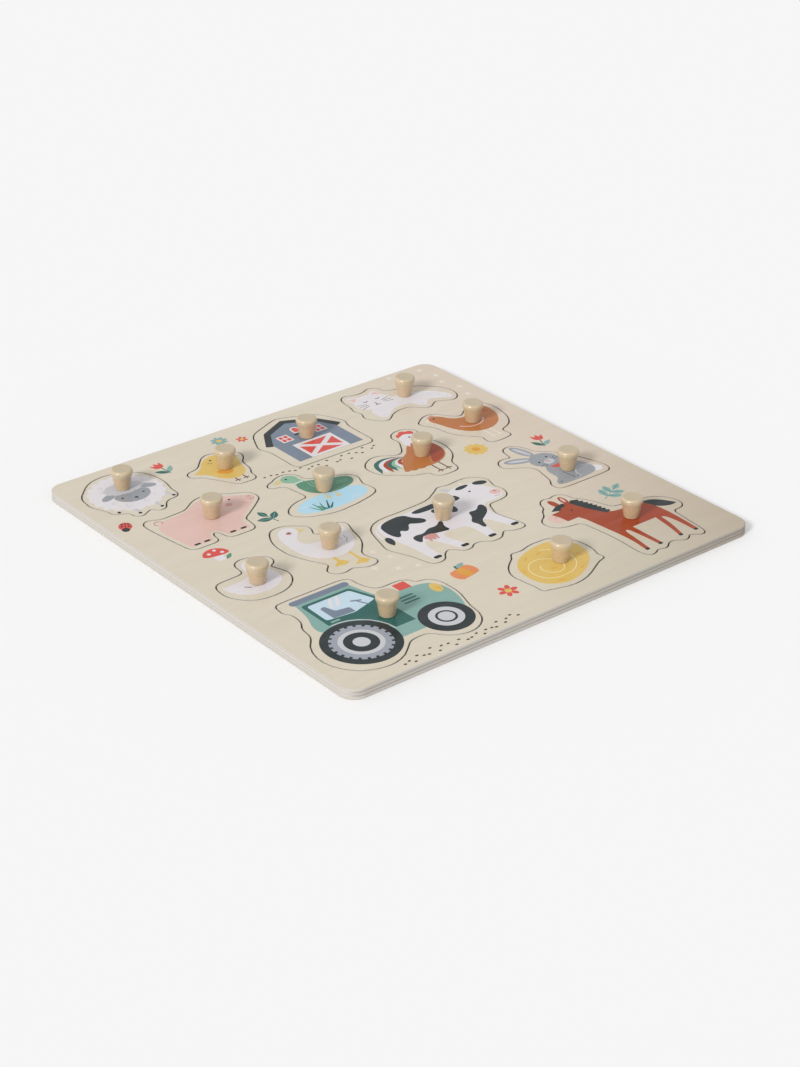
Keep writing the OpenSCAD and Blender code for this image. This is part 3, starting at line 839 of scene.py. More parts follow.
class PUZZLE_OT_barn(bpy.types.Operator):
    """Print of the barn"""

    bl_idname = "puzzle.barn"
    bl_label = "Barn"

    def execute(self, context):
        picture = Picture("barn_print")
        # Drawn about the barn's middle line
        picture.at(22)
        picture.shape(
            [(-39.5, 148.5), (-26.5, 170), (0, 182.8), (26.5, 170), (39.5, 148.5), (34, 145.5),
             (0, 160), (-34, 145.5)], "charcoal", 1, radius=1.2,
        )
        picture.panel(
            [(-33, 109.5), (-33, 147), (-22.5, 165.2), (0, 176), (22.5, 165.2), (33, 147),
             (33, 109.5)], "slate", 2,
        )
        for x in (-17.5, 17.5):
            picture.box(x, 151.5, 11.2, 12.4, "white", 4)
            for a, b in ((-2.4, -2.7), (-2.4, 2.7), (2.4, -2.7), (2.4, 2.7)):
                picture.box(x + a, 151.5 + b, 3.6, 4.2, "red", 5)
        arch = [(-4.6, 0, 0), (-4.6, 7), (-2.6, 11), (2.6, 11), (4.6, 7), (4.6, 0, 0)]
        for ink, coat, wide, high, low in (("white", 4, 1, 1, 155), ("red", 5, 0.68, 0.76, 156.3)):
            picture.shape([(x * wide, low + y * high, *sharp) for x, y, *sharp in arch], ink, coat)
        picture.box(0, 152.9, 12.8, 2.6, "charcoal", 4)
        picture.box(0, 123.75, 39.6, 28.5, "white", 4)
        # Red leaves show between the white frame and its two braces
        for leaf in (
            [(-16.8, 132), (-5.2, 123.8), (-16.8, 115.6)],
            [(16.8, 132), (5.2, 123.8), (16.8, 115.6)],
            [(-13.6, 135), (13.6, 135), (0, 125.6)],
            [(-13.6, 112.5), (0, 121.9), (13.6, 112.5)],
        ):
            picture.panel(leaf, "red", 5)
        return picture.lay_on("barn", "barn_piece")


class PUZZLE_OT_cat(bpy.types.Operator):
    """Print of the cat"""

    bl_idname = "puzzle.cat"
    bl_label = "Cat"

    def execute(self, context):
        picture = Picture("cat_print")
        picture.shape(
            [(94, 150), (105, 152), (119, 163), (131, 161), (146, 157), (159, 153), (167, 144),
             (172.5, 134), (170, 127.5), (164, 130), (155, 137), (148, 138), (143, 129.5),
             (137, 130), (134, 141), (121, 143), (110, 140), (101, 130.5), (95, 132), (94, 141)],
            "white", 1,
        )
        for x, y in ((97.5, 133.5), (100.5, 135), (138, 132.5), (141, 133.5)):
            picture.stroke(x, y, 70, [(3, 0)], "cloud", 2, 0.5)
        for x, y, turn in ((157, 147, 235), (163, 140, 225), (168, 134, 215)):
            picture.stroke(x, y, turn, [(5, 30)], "cloud", 2, 0.6)
        # Head, drawn about its own middle
        picture.at(108.6)
        for side, tip in ((-1, -15.6), (1, 13.9)):
            for ink, coat, corners in (
                ("white", 2, [(16 * side, 168, 0), (tip, 182.6), (5 * side, 177.5, 0)]),
                ("pink", 4, [(14 * side, 171.5, 0), (tip - 0.6 * side, 179.6), (8 * side, 177, 0)]),
            ):
                picture.shape(corners, ink, coat, bend=20)
        picture.disc(0, 163.5, 36, 29, "white", 3)
        # Sleeping eyes, nose and mouth, whiskers
        for x in (-8.1, 4.9):
            picture.stroke(x, 167.5, -60, [(2.6, 120)], "charcoal", 4, 0.8)
        picture.shape([(-1.8, 161.2), (1.8, 161.2), (0, 158.8)], "rose", 4, bend=25)
        for side in (-1, 1):
            mouth = [(1.2, 0), (1.9, 120 * side)]
            picture.stroke(0, 159.2, -90, mouth, "charcoal", 6 + side, 0.6)
            for lean in (-14, 0, 14):
                heading = lean if side > 0 else 180 - lean
                picture.stroke(8 * side, 160 + lean * 0.13, heading, [(9, 0)], "charcoal", 4, 0.5)
        return picture.lay_on("cat", "cat_piece")


class PUZZLE_OT_pig(bpy.types.Operator):
    """Print of the pig"""

    bl_idname = "puzzle.pig"
    bl_label = "Pig"

    def execute(self, context):
        picture = Picture("pig_print")
        picture.shape(
            [(-169.5, 74), (-168.5, 86), (-158, 92.5), (-145, 93), (-134, 95), (-124, 102),
             (-113, 105), (-103, 103), (-93, 96), (-83, 90), (-77.5, 86.5), (-77.8, 80), (-85, 75),
             (-95, 66.5), (-106, 59.5), (-109.5, 53), (-109.5, 42.5, 0), (-130.5, 42.5, 0),
             (-132, 50), (-137, 56), (-143, 51.5), (-144.5, 42.5, 0), (-164.5, 42.5, 0),
             (-167, 58)], "pink", 1,
        )
        picture.stroke(-165, 88.5, 150, [(3.4, -250), (2.2, -60)], "rose", 2, 1.1)
        picture.shape([(-113, 103, 0), (-101, 101.5, 0), (-104, 90.5)], "rose", 2, bend=25)
        picture.disc(-80.8, 83.6, 5.6, 8.4, "rose", 2, -12)
        picture.disc(-80.8, 83.6, 4.2, 7, "pink", 3, -12)
        for x, y in ((-80.6, 85.4), (-81.2, 81.8)):
            picture.disc(x, y, 1.1, 1.7, "tan", 4)
        picture.eye(-96.5, 90.5)
        picture.disc(-101.5, 83.5, 6.4, 5, "rose", 2)
        picture.stroke(-88, 76.5, 150, [(5, -70)], "rose", 2, 0.8)
        picture.hooves([(x, 44.6) for x in (-158.5, -149.5, -125, -115)], 5.6, 2.5, 2)
        return picture.lay_on("pig", "pig_piece")


class PUZZLE_OT_duck(bpy.types.Operator):
    """Print of the duck on its pond"""

    bl_idname = "puzzle.duck"
    bl_label = "Duck"

    def execute(self, context):
        picture = Picture("duck_print")
        picture.shape(
            [(-67, 38), (-62, 46), (-48, 51.5), (-30, 52), (-10, 50.5), (1, 47), (3, 38), (-2, 31),
             (-16, 27), (-34, 25.5), (-52, 27.5), (-63, 32)], "sky", 1,
        )
        for x, y, long in ((-18, 31.5, 13), (-61, 41, 9)):
            picture.stroke(x, y, 25, [(long, -45)], "white", 2, 0.9)
        reeds = (
            (-49, 118, 12, "green"), (-48, 96, 14, "green"), (-47, 74, 12, "green"),
            (-44, 116, 9, "pine"), (-43, 62, 14, "pine"), (-41, 44, 9, "pine"),
        )
        for coat, (x, heading, reach, ink) in enumerate(reeds, 3):
            root = Vector((x, 28.5))
            picture.bar(root, root + turned(reach, 0, heading), 1.8, ink, coat, narrow=0.7)
        for x, y in ((-31.5, 44.5), (-23, 42.5)):
            picture.bar((x + 2, y + 9), (x, y + 1), 1.6, "straw", 2)
            foot = [(x + 1.8, y + 2.4), (x - 3, y), (x - 1.6, y - 3), (x + 3.2, y - 1.2)]
            picture.shape(foot, "straw", 3)
        picture.shape(
            [(-44, 94.5, 0), (-49, 92.6), (-55, 87.5), (-50, 87), (-43.5, 87.5, 0)],
            "straw", 2, bend=30,
        )
        picture.shape(
            [(-42, 90), (-39, 80), (-41.5, 70), (-28, 70), (-29.5, 80), (-32, 90)], "mint", 2,
        )
        picture.disc(-38, 89, 14.5, 13.5, "mint", 3)
        picture.bar((-40.4, 79.6), (-30.4, 80.2), 1.4, "white", 5)
        picture.shape(
            [(-40.8, 78.8), (-30.5, 79.2), (-20, 75), (-8, 69.5), (1, 66.5), (5, 62), (2.5, 54),
             (-8, 49.5), (-24, 49), (-34.5, 54), (-41, 64)], "green", 4,
        )
        for x, y, heading, reach, sweep in (
            (-29.5, 75, -108, 13, 60), (-26, 75.5, -108, 11, 60),
            (-12, 60, -30, 16, 45), (-10, 62.5, -30, 14, 45),
        ):
            picture.stroke(x, y, heading, [(reach, sweep)], "mint", 5, 0.8)
        picture.eye(-40, 90.5, 5)
        return picture.lay_on("duck", "duck_piece")


class PUZZLE_OT_rooster(bpy.types.Operator):
    """Print of the rooster"""

    bl_idname = "puzzle.rooster"
    bl_label = "Rooster"

    def execute(self, context):
        picture = Picture("rooster_print")
        # Tail of curved feathers, each a little shorter and turned further down than the last
        plume = (
            (3, 2, 0), (-9, 10), (-22, 10.5), (-31, 3), (-32, -12, 0), (-26, -4), (-18, 3), (-8, 2)
        )
        for i, ink in enumerate(("pine", "white", "brick", "pine", "mint", "white", "brick")):
            picture.at(59, 60.5, 7 * i)
            size = 0.98 - 0.1 * i
            picture.shape([(x * size, y * size, *sharp) for x, y, *sharp in plume], ink, 1 + i)
        picture.at()
        for x in (69.5, 77.5):
            picture.bird_leg(x, 39, 25, "tan", 1.4)
        for x, y, size, coat in ((83, 95, 7, 5), (88, 97.5, 8, 6), (93.5, 95.5, 7, 5)):
            picture.disc(x, y, size, size, "red", coat)
        picture.shape([(93, 89.5, 0), (98.5, 86), (93.5, 83, 0)], "amber", 5, bend=25)
        picture.disc(93, 80, 4.5, 7, "red", 7, -10)
        picture.shape(
            [(44.5, 40.5, 0), (48, 47), (53, 55), (60, 62.5), (68, 67), (74, 76), (85, 82),
             (93, 76), (97, 66), (96.5, 53), (91, 44), (82, 38.5), (71, 36.5), (65, 37.5, 0),
             (61, 35.8), (57, 38.2, 0), (53, 36.6), (50, 39.6, 0), (47, 38.6)], "rust", 8,
        )
        picture.shape(
            [(72, 37.5), (86, 41.5), (95, 50), (97, 62), (95, 70), (85, 59), (78, 48)], "brick", 9,
        )
        picture.shape(
            [(80, 93), (88, 96), (95, 91), (96, 84), (94, 76, 0), (89, 80, 0), (85, 73.5, 0),
             (81.5, 79, 0), (77, 73.5, 0), (76.5, 81), (78.5, 88)], "white", 10, bend=35,
        )
        picture.eye(88, 88.5, 11)
        return picture.lay_on("rooster", "rooster_piece")


class PUZZLE_OT_hen(bpy.types.Operator):
    """Print of the hen"""

    bl_idname = "puzzle.hen"
    bl_label = "Hen"

    def execute(self, context):
        picture = Picture("hen_print")
        for x in (146, 153):
            picture.bird_leg(x, 62, 47, "ivory", 1.1)
        picture.shape([(122, 104.6, 0), (116.5, 102.2), (122, 100, 0)], "ivory", 1, bend=25)
        for x, y, size, coat in ((125, 107, 4, 1), (128.6, 108.2, 4.6, 2)):
            picture.disc(x, y, size, size, "rose", coat)
        picture.shape(
            [(120.5, 102), (124, 107), (130, 107.5), (135, 103), (138, 96), (144.5, 91), (152, 90),
             (160, 93.5), (168, 100, 0), (175.5, 102), (179.5, 94), (178.5, 83), (174, 72),
             (165, 63), (153, 59.2), (141, 61.5), (131.5, 70), (126, 82), (123.5, 94)], "rust", 3,
        )
        picture.stroke(135.8, 78.6, -56, [(15.2, 116)], "pink", 4, 2.4)
        picture.stroke(136.4, 78.8, -56, [(14.6, 114)], "rust", 5, 1)
        for x, turn in ((166, -60), (171, -66)):
            picture.stroke(x, 95, turn, [(9, 0)], "brick", 4, 1)
        picture.eye(127.2, 103.4)
        return picture.lay_on("hen", "hen_piece")


class PUZZLE_OT_duckling(bpy.types.Operator):
    """Print of the duckling"""

    bl_idname = "puzzle.duckling"
    bl_label = "Duckling"

    def execute(self, context):
        picture = Picture("duckling_print")
        picture.shape(
            [(-139, -6.5, 0), (-132.8, -9), (-133.2, -12), (-139.5, -12.6, 0)], "straw", 1, bend=30,
        )
        picture.shape(
            [(-184.5, -25, 0), (-172, -24.5), (-159, -23), (-153.5, -16), (-155, -7), (-149, 0),
             (-140, -1), (-137, -9), (-139.5, -18), (-136.5, -27), (-137.5, -37), (-145, -45),
             (-159, -48.5), (-173, -45.5), (-181.5, -37)], "white", 2,
        )
        picture.stroke(-169.5, -32.5, -48, [(13.5, 96)], "cloud", 3, 1.4)
        picture.stroke(-169.8, -32.8, -42, [(5.5, 0)], "charcoal", 4, 0.6)
        picture.eye(-144.5, -7)
        return picture.lay_on("duckling", "duckling_piece")


class PUZZLE_OT_goose(bpy.types.Operator):
    """Print of the goose"""

    bl_idname = "puzzle.goose"
    bl_label = "Goose"

    def execute(self, context):
        picture = Picture("goose_print")
        picture.shape(
            [(-88, 18.5, 0), (-83.5, 17.5), (-78.4, 12.6), (-83, 10.8), (-88.5, 9.5, 0)],
            "straw", 1, bend=30,
        )
        for x, y, low in ((-90, -36, -46), (-75, -36, -53)):
            picture.bar((x, y), (x, low), 2.6, "yellow")
            picture.shape(
                [(x + 1, low + 3), (x - 8.5, low - 4.5), (x - 3.6, low - 4.6, 0),
                 (x + 0.4, low - 7), (x + 6.4, low - 4)], "yellow", 2, bend=22,
            )
        picture.shape(
            [(-107, -6), (-106, 8), (-102, 18), (-96, 23.5), (-88.5, 22.5), (-84.5, 16), (-87, 10),
             (-93.5, 5), (-96, -2), (-93, -9), (-80, -12), (-69, -9), (-61, -3), (-53.5, 2, 0),
             (-54.5, -10), (-57, -20), (-61.5, -29), (-70, -36.5), (-82, -39.5), (-94, -37),
             (-102.5, -28), (-106.5, -17)], "white", 3,
        )
        for x, y, turn in ((-66, -12, -125), (-62, -14, -120), (-63, -20, -150)):
            picture.stroke(x, y, turn, [(6.5, 60)], "grey", 4, 0.6)
        picture.disc(-93.8, 14.2, 5, 4.4, "rose", 4)
        picture.disc(-93.4, 14.8, 2.8, 2.6, "tan", 5)
        return picture.lay_on("goose", "goose_piece")


class PUZZLE_OT_cow(bpy.types.Operator):
    """Print of the cow"""

    bl_idname = "puzzle.cow"
    bl_label = "Cow"

    def execute(self, context):
        picture = Picture("cow_print")
        for x, lean in ((50, 30), (66, 10)):
            picture.bar((x, -8), (x - 0.1 * lean, -2.6), 2.6, "ivory", 1, narrow=1.6)
        picture.disc(48.5, -6, 10, 4.4, "cloud", 2, -50)
        picture.shape(
            [(-38.5, -30), (-35, -19.5), (-22, -15.8), (4, -16.6), (30, -16), (42, -13), (50, -8.5),
             (60, -6), (71, -7), (77, -14), (80.5, -24), (84, -32), (81, -40.5), (70, -43),
             (60, -41), (55, -47), (53, -58), (55.5, -70), (58.5, -85, 0), (50.5, -85, 0),
             (46, -71), (41, -61.5), (36.5, -66), (34, -76), (32.5, -88, 0), (24, -88, 0),
             (24.5, -73), (24, -61.5), (10, -60.5), (-2, -61), (-0.5, -72), (5, -86, 0),
             (-3.5, -87, 0), (-9, -74), (-14, -62), (-21.5, -63), (-23.5, -75), (-23, -88.5, 0),
             (-31.5, -88.5, 0), (-33, -74), (-33.5, -58), (-38, -44)], "white", 3,
        )
        picture.stroke(-37.5, -24, 230, [(16, 30), (8, 0)], "white", 4, 1.8)
        picture.shape(
            [(-41, -38), (-36.5, -40), (-37, -48), (-41.5, -52.5, 0), (-44, -46)], "charcoal", 5,
        )
        for patch in (
            [(-34.5, -29), (-31, -20), (-18, -16.5), (-5, -17), (-3, -25), (5, -32), (3, -38),
             (-5, -36), (-11, -30.5), (-15, -38), (-20, -41), (-23.5, -35), (-28.5, -46),
             (-33.5, -42)],
            [(2, -17.4), (20, -16.8), (36, -16.4), (46, -15), (50, -20), (48, -25.5), (34, -24),
             (20, -24), (8, -23.6), (2.5, -21.5)],
            [(-25, -53), (-19, -49.5), (-12, -52), (-4, -46.5), (4, -48.5), (10.5, -42.5),
             (13, -45), (8, -52), (10, -59.6), (2, -58), (-6, -56.5), (-14, -54), (-18, -57.5),
             (-22.5, -63.5)],
            [(15, -26), (20, -24.5), (35, -26), (37, -34), (33, -40.5), (28, -38), (24, -33.5),
             (17, -33)],
            [(38, -45), (46, -48), (52, -41), (56.5, -43), (54, -52), (45, -59), (37.5, -63),
             (35.5, -73), (31.5, -73), (32, -65), (29, -60), (36, -54)],
            [(54, -9.5), (62, -6.8), (71, -9), (64, -12.4), (57, -12.6)],
        ):
            picture.shape(patch, "charcoal", 4)
        picture.disc(79, -12.3, 12.5, 6.6, "charcoal", 5, -18)
        picture.disc(-10.5, -58.6, 12, 7.6, "rose", 6)
        for x in (-14, -10.6, -7.2):
            picture.bar((x, -60.5), (x, -64.8), 2.2, "rose", 7)
        picture.disc(78.5, -32, 9.6, 8.4, "pink", 4, -12)
        picture.disc(79, -30.8, 3.2, 3.4, "rose", 5)
        picture.stroke(73, -37.5, -30, [(7, 50)], "rose", 5, 0.6)
        picture.eye(62.5, -19.2, 6)
        hooves = [(-27.2, -87), (1.5, -85.5), (28.2, -86.8), (54.5, -83.2)]
        picture.hooves(hooves, 7.2, 3.6, 5)
        return picture.lay_on("cow", "cow_piece")


class PUZZLE_OT_rabbit(bpy.types.Operator):
    """Print of the rabbit"""

    bl_idname = "puzzle.rabbit"
    bl_label = "Rabbit"

    def execute(self, context):
        picture = Picture("rabbit_print")
        for x, y, turn, coat in ((129.4, -3.4, 158, 1), (142.9, 8, 104, 2)):
            picture.disc(x, y, 25.6, 9.4, "grey", coat, turn)
            picture.disc(x, y, 19, 4, "cloud", coat + 1, turn)
        picture.disc(172, -51.5, 10.5, 10.5, "white", 1)
        picture.shape(
            [(139, -24), (150, -27), (161, -24), (169, -32), (173, -43), (171, -54), (160, -57.6),
             (140, -57.6), (127, -56.5), (129, -50), (136, -46), (135, -35)], "grey", 2,
        )
        # Line of the thigh, the front leg and the two paws
        picture.stroke(152.5, -54.5, 100, [(12, -140)], "cloud", 3, 1.1)
        picture.stroke(145, -40, -82, [(14, 0)], "charcoal", 3, 0.5)
        for x in (131, 149):
            picture.stroke(x, -54.5, 80, [(2.4, -110)], "charcoal", 3, 0.5)
        picture.shape([(143.5, -26, 0), (154, -25, 0), (151, -31), (147, -32)], "red", 3, bend=30)
        picture.disc(148, -14.5, 27, 24.5, "grey", 4)
        # The face leans to one side about its muzzle
        muzzle, tilt = Vector((149.5, -19)), 22
        picture.disc(*muzzle, 11, 8, "cloud", 5, tilt)
        for side in (-1, 1):
            picture.eye(*(muzzle + turned(6.4 * side, 6, tilt)), 5)
            for rise in (-12, 6):
                start = muzzle + turned(5 * side, rise * 0.08, tilt)
                heading = tilt + (rise if side > 0 else 180 - rise)
                picture.stroke(*start, heading, [(6, 0)], "charcoal", 6, 0.4)
        nose, lip = (muzzle + turned(0, rise, tilt) for rise in (2.4, 1.4))
        picture.disc(*nose, 2.8, 2, "rose", 6)
        picture.stroke(*lip, tilt - 90, [(2, 0)], "charcoal", 7, 0.6)
        return picture.lay_on("rabbit", "rabbit_piece")


class PUZZLE_OT_tractor(bpy.types.Operator):
    """Print of the tractor"""

    bl_idname = "puzzle.tractor"
    bl_label = "Tractor"

    def execute(self, context):
        picture = Picture("tractor_print")
        picture.shape(
            [(-157.5, -79, 0), (-107, -79, 0), (-100, -109), (-85, -109.5), (-66, -110),
             (-56, -115), (-51.5, -128), (-53, -142), (-58, -156), (-64, -163, 0), (-125, -163, 0),
             (-150, -130), (-166, -123), (-166.5, -112), (-160, -98)], "teal", 1, bend=42,
        )
        picture.bar((-160, -76), (-106, -76), 6.6, "slate", 2)
        picture.shape(
            [(-155, -82.5), (-110.5, -82.5), (-101, -108, 0), (-100, -149, 0), (-119, -149, 0),
             (-124, -134), (-135, -122), (-149, -118), (-155.5, -118)], "pine", 2, radius=2,
        )
        picture.shape(
            [(-151.5, -85.5), (-112.5, -85.5), (-104.5, -107), (-128, -113.5), (-152, -110.5)],
            "glass", 3, radius=2.2,
        )
        # Seat and steering wheel behind the glass
        picture.shape(
            [(-146, -94), (-141.5, -93), (-138.5, -103), (-127, -105), (-127, -112.6, 0),
             (-146, -111, 0)], "slate", 4, radius=1.6,
        )
        picture.bar((-113, -110.5), (-117.5, -101.5), 1.5, "slate", 4)
        picture.bar((-121.5, -98.8), (-113.5, -102.4), 1.9, "slate", 5)
        for x in (-133, -127):
            glint = [(x, -86.5), (x + 3.4, -86.5), (x - 3.6, -99), (x - 7, -99)]
            picture.panel(glint, "white", 5)
        picture.bar((-151.5, -114.6), (-143, -114.6), 2.2, "teal", 3)
        exhaust = [(-83.2, -99.8), (-71.8, -99.8), (-71.8, -109.8, 0), (-83.2, -109.8, 0)]
        picture.shape(exhaust, "red", 2, radius=1.2)
        for y in (-118.6, -122.8, -127):
            picture.bar((-92.5, y), (-78, y), 1.7, "pine", 2)
        picture.disc(-58.7, -122.5, 9, 14, "yellow", 2, -6)
        picture.stroke(-57.4, -127.4, 78, [(8.5, 40)], "amber", 3, 0.9)
        # Big wheel with its lugs, and the mudguard's pale edge round it
        picture.at(-151, -150)
        picture.stroke(31.9, 0, 90, [(31.9, 96)], "silver", 3, 1)
        picture.wheel([(61, "charcoal"), (48, "steel")], 4)
        lugs = 22
        for i in range(lugs):
            picture.at(-151, -150, 360 * i / lugs)
            picture.panel([(24.6, -1.3), (24.6, 1.3), (21.8, 1.1), (21.8, -1.1)], "charcoal", 6)
        picture.at(-151, -150)
        picture.wheel([(34.6, "silver"), (26.8, "charcoal"), (13, "silver")], 7)
        # Small wheel
        picture.at(-80, -160)
        small = [(42.6, "charcoal"), (27.4, "silver"), (16.8, "charcoal"), (13, "silver")]
        picture.wheel(small, 4)
        return picture.lay_on("tractor", "tractor_piece")


class PUZZLE_OT_bale(bpy.types.Operator):
    """Print of the bale of hay"""

    bl_idname = "puzzle.bale"
    bl_label = "Bale"

    def execute(self, context):
        picture = Picture("bale_print")
        picture.shape(
            [(4.2, -152), (6.4, -140), (16, -129.5), (28, -124), (44, -120.5), (59, -122.5),
             (68.5, -131), (70, -144), (66, -157), (56, -167), (41, -176), (26, -179), (12, -174),
             (5.2, -164)], "yellow", 1,
        )
        roll = [
            (6, 60), (9.75, 180), (14.5, 180), (1.5, 0), (14.5, 90), (6, 0), (22, 90), (19, 75)
        ]
        # One line winds out from the middle of the roll
        picture.stroke(24, -147.3, -150, roll, "cream", 2, 0.9)
        for x, y, turn in (
            (8, -149, 80), (20, -134, 40), (50, -133, -20), (61, -154, 100),
            (46, -168.5, 20), (25, -173.5, 165), (33, -132, 10), (32, -157, 150),
        ):
            picture.stroke(x, y, turn, [(5.5, 0)], "amber", 3, 0.8)
        return picture.lay_on("bale", "bale_piece")


class PUZZLE_OT_horse(bpy.types.Operator):
    """Print of the horse"""

    bl_idname = "puzzle.horse"
    bl_label = "Horse"

    def execute(self, context):
        picture = Picture("horse_print")
        picture.shape(
            [(156, -119.5), (165, -119), (173, -126), (179.5, -137, 0), (171, -138), (161, -131)],
            "charcoal", 1,
        )
        for x, lean in ((100.5, 4), (110.5, -6)):
            picture.disc(x, -78.5, 6, 14, "brick", 1, lean)
        picture.disc(110.7, -77.5, 2.4, 8, "pink", 2, -6)
        picture.disc(84.8, -98.4, 11.5, 14, "pink", 1, 4)
        # The mane's teeth point outward, 4 mm apart along the curved back of the neck
        mane = [(111, -84), (115, -81.8, 0)]
        for i in range(8):
            x, y = 119.4 + 1.15 * i + 0.9 * math.sin(0.45 * i), -84.6 - 4 * i
            mane += [(x + 1.6, y, 0), (x - 0.2, y - 2, 0)]
        picture.shape([*mane, (123.5, -115.5), (117, -103), (113, -92)], "charcoal", 5, bend=20)
        picture.shape(
            [(86.5, -91, 0), (97, -90.5), (103, -84), (110, -81.5), (116, -89), (119, -102),
             (123.5, -113), (131, -117.8), (146, -117.8), (157, -120), (161.5, -128), (163, -142),
             (162.4, -160), (160.8, -178.6, 0), (157, -178.6, 0), (157.4, -163), (156, -150),
             (152.4, -145.6), (151.4, -152), (149.4, -163), (144.8, -178, 0), (141.4, -178, 0),
             (145, -164), (147.8, -145, 0), (122.8, -145, 0), (122.8, -161), (122.6, -178.4, 0),
             (119.2, -178.4, 0), (118.4, -161), (117, -146), (113, -146), (111.4, -161),
             (108.4, -178.6, 0), (104.8, -178.6, 0), (107, -161), (106, -144), (104, -126),
             (103, -113), (100.5, -106.8, 0), (89.5, -106.8, 0), (89, -99)], "brick", 4, bend=42,
        )
        picture.shape(
            [(90, -87, 0), (98, -82.5), (107, -81.5), (105, -86.5, 0), (100, -87), (97, -90, 0),
             (93.5, -88.5)], "charcoal", 5, bend=25,
        )
        picture.eye(104.5, -95, 5)
        picture.disc(86, -96.5, 1.3, 2, "rose", 5)
        hooves = [(106.6, -178.4), (120.9, -178), (143, -178), (158.9, -178.6)]
        picture.hooves(hooves, 3.8, 2.8, 5)
        return picture.lay_on("horse", "horse_piece")


# Small plants and stones


def tulip(picture):
    """Tulip with two leaves."""
    picture.stroke(-2, -11, 84, [(12, 0)], "pine", 1, 1)
    picture.leaf(-2, -10.5, 13, 5.4, 128, "pine", None, 2)
    picture.leaf(-2, -9.5, 12, 5, 40, "leaf", None, 3)
    picture.shape(
        [(-5, 1), (-6, 10, 0), (-2.6, 6.6, 0), (-0.5, 11, 0), (1.7, 6.8, 0), (5, 10, 0), (3.8, 1)],
        "red", 2, bend=40,
    )


def flower(picture, petals, reach, ink, heart):
    """Open flower, with petals of one ink round a heart of another."""
    for i in range(petals):
        turn = 360 * i / petals
        middle = turned(reach, 0, turn)
        picture.disc(*middle, reach * 1.3, reach * 0.8, ink, 1 + i % 2, turn)
    picture.disc(0, 0, reach * 1.1, reach * 1.1, heart, 3)


def ladybird(picture):
    """Red ladybird with four spots, seen from above."""
    picture.disc(0, 0, 13, 11, "red", 1)
    picture.disc(-5.8, 0, 6.4, 6.4, "charcoal", 2)
    picture.stroke(-2.6, 0, 0, [(9, 0)], "charcoal", 2, 0.6)
    for x, y in ((0, 2.8), (0, -2.8), (3.8, 2.6), (3.8, -2.6)):
        picture.disc(x, y, 2, 2, "charcoal", 3)


def sprig(picture, pairs, ink, vein):
    """Straight stalk with pairs of leaves and one at its tip."""
    picture.stroke(0, -4, 90, [(7.5 * pairs + 5, 0)], ink, 1, 0.9)
    for i in range(pairs):
        for turn in (35, 145):
            picture.leaf(0, 2 + 7.5 * i, 13 - i, 7, turn, ink, vein, 2)
    picture.leaf(0, 7.5 * pairs, 11.5, 6.4, 90, ink, vein, 2)


def toadstool(picture):
    """Spotted toadstool with a blade of grass."""
    picture.shape([(-3.4, -9), (-4.4, 1), (4.4, 1), (3.4, -9)], "white", 1, bend=30)
    picture.shape([(-12, -1), (-9.5, 8), (0, 12.5), (9.5, 8), (12, -1)], "red", 2, bend=40)
    for x, y, size in ((-5, 4.4, 3.2), (1.2, 8, 3), (5.6, 3, 3.2)):
        picture.disc(x, y, size, size, "white", 3)
    picture.leaf(4, -9, 10, 4, 48, "green")


def pumpkin(picture):
    """Ribbed pumpkin with its stalk and a leaf."""
    ribs = ((-7, 9), (7, 9), (-3.4, 11), (3.4, 11), (0, 9))
    for coat, (x, wide) in enumerate(ribs, 1):
        picture.disc(x, 0, wide, 15, "orange" if coat < 5 else "amber", coat)
    picture.bar((0, 7), (1.8, 11.6), 2.2, "pine", 6)
    picture.leaf(0.5, 8.4, 10, 5, 12, "leaf", None, 7)


def pebbles(picture, count, path):
    """Small stones on both sides of a path; each of its points says how far they stray there."""
    for i in range(count):
        along = (i + 0.5) / count * (len(path) - 1)
        start, end = path[int(along)], path[int(along) + 1]
        x, y, stray = (a + (b - a) * (along % 1) for a, b in zip(start, end))
        place = (x + 0.6 * math.sin(2.3 * i), y + stray * math.sin(2.4 * i))
        picture.disc(*place, 2.9, 1.9, "soil", 1, 14 * math.sin(i))


def flake(picture):
    """Star with four slim points."""
    spots = [turned(reach, 0, 45 * i) for i, reach in enumerate((4, 1.3) * 4)]
    picture.panel(spots, "ivory", 1)


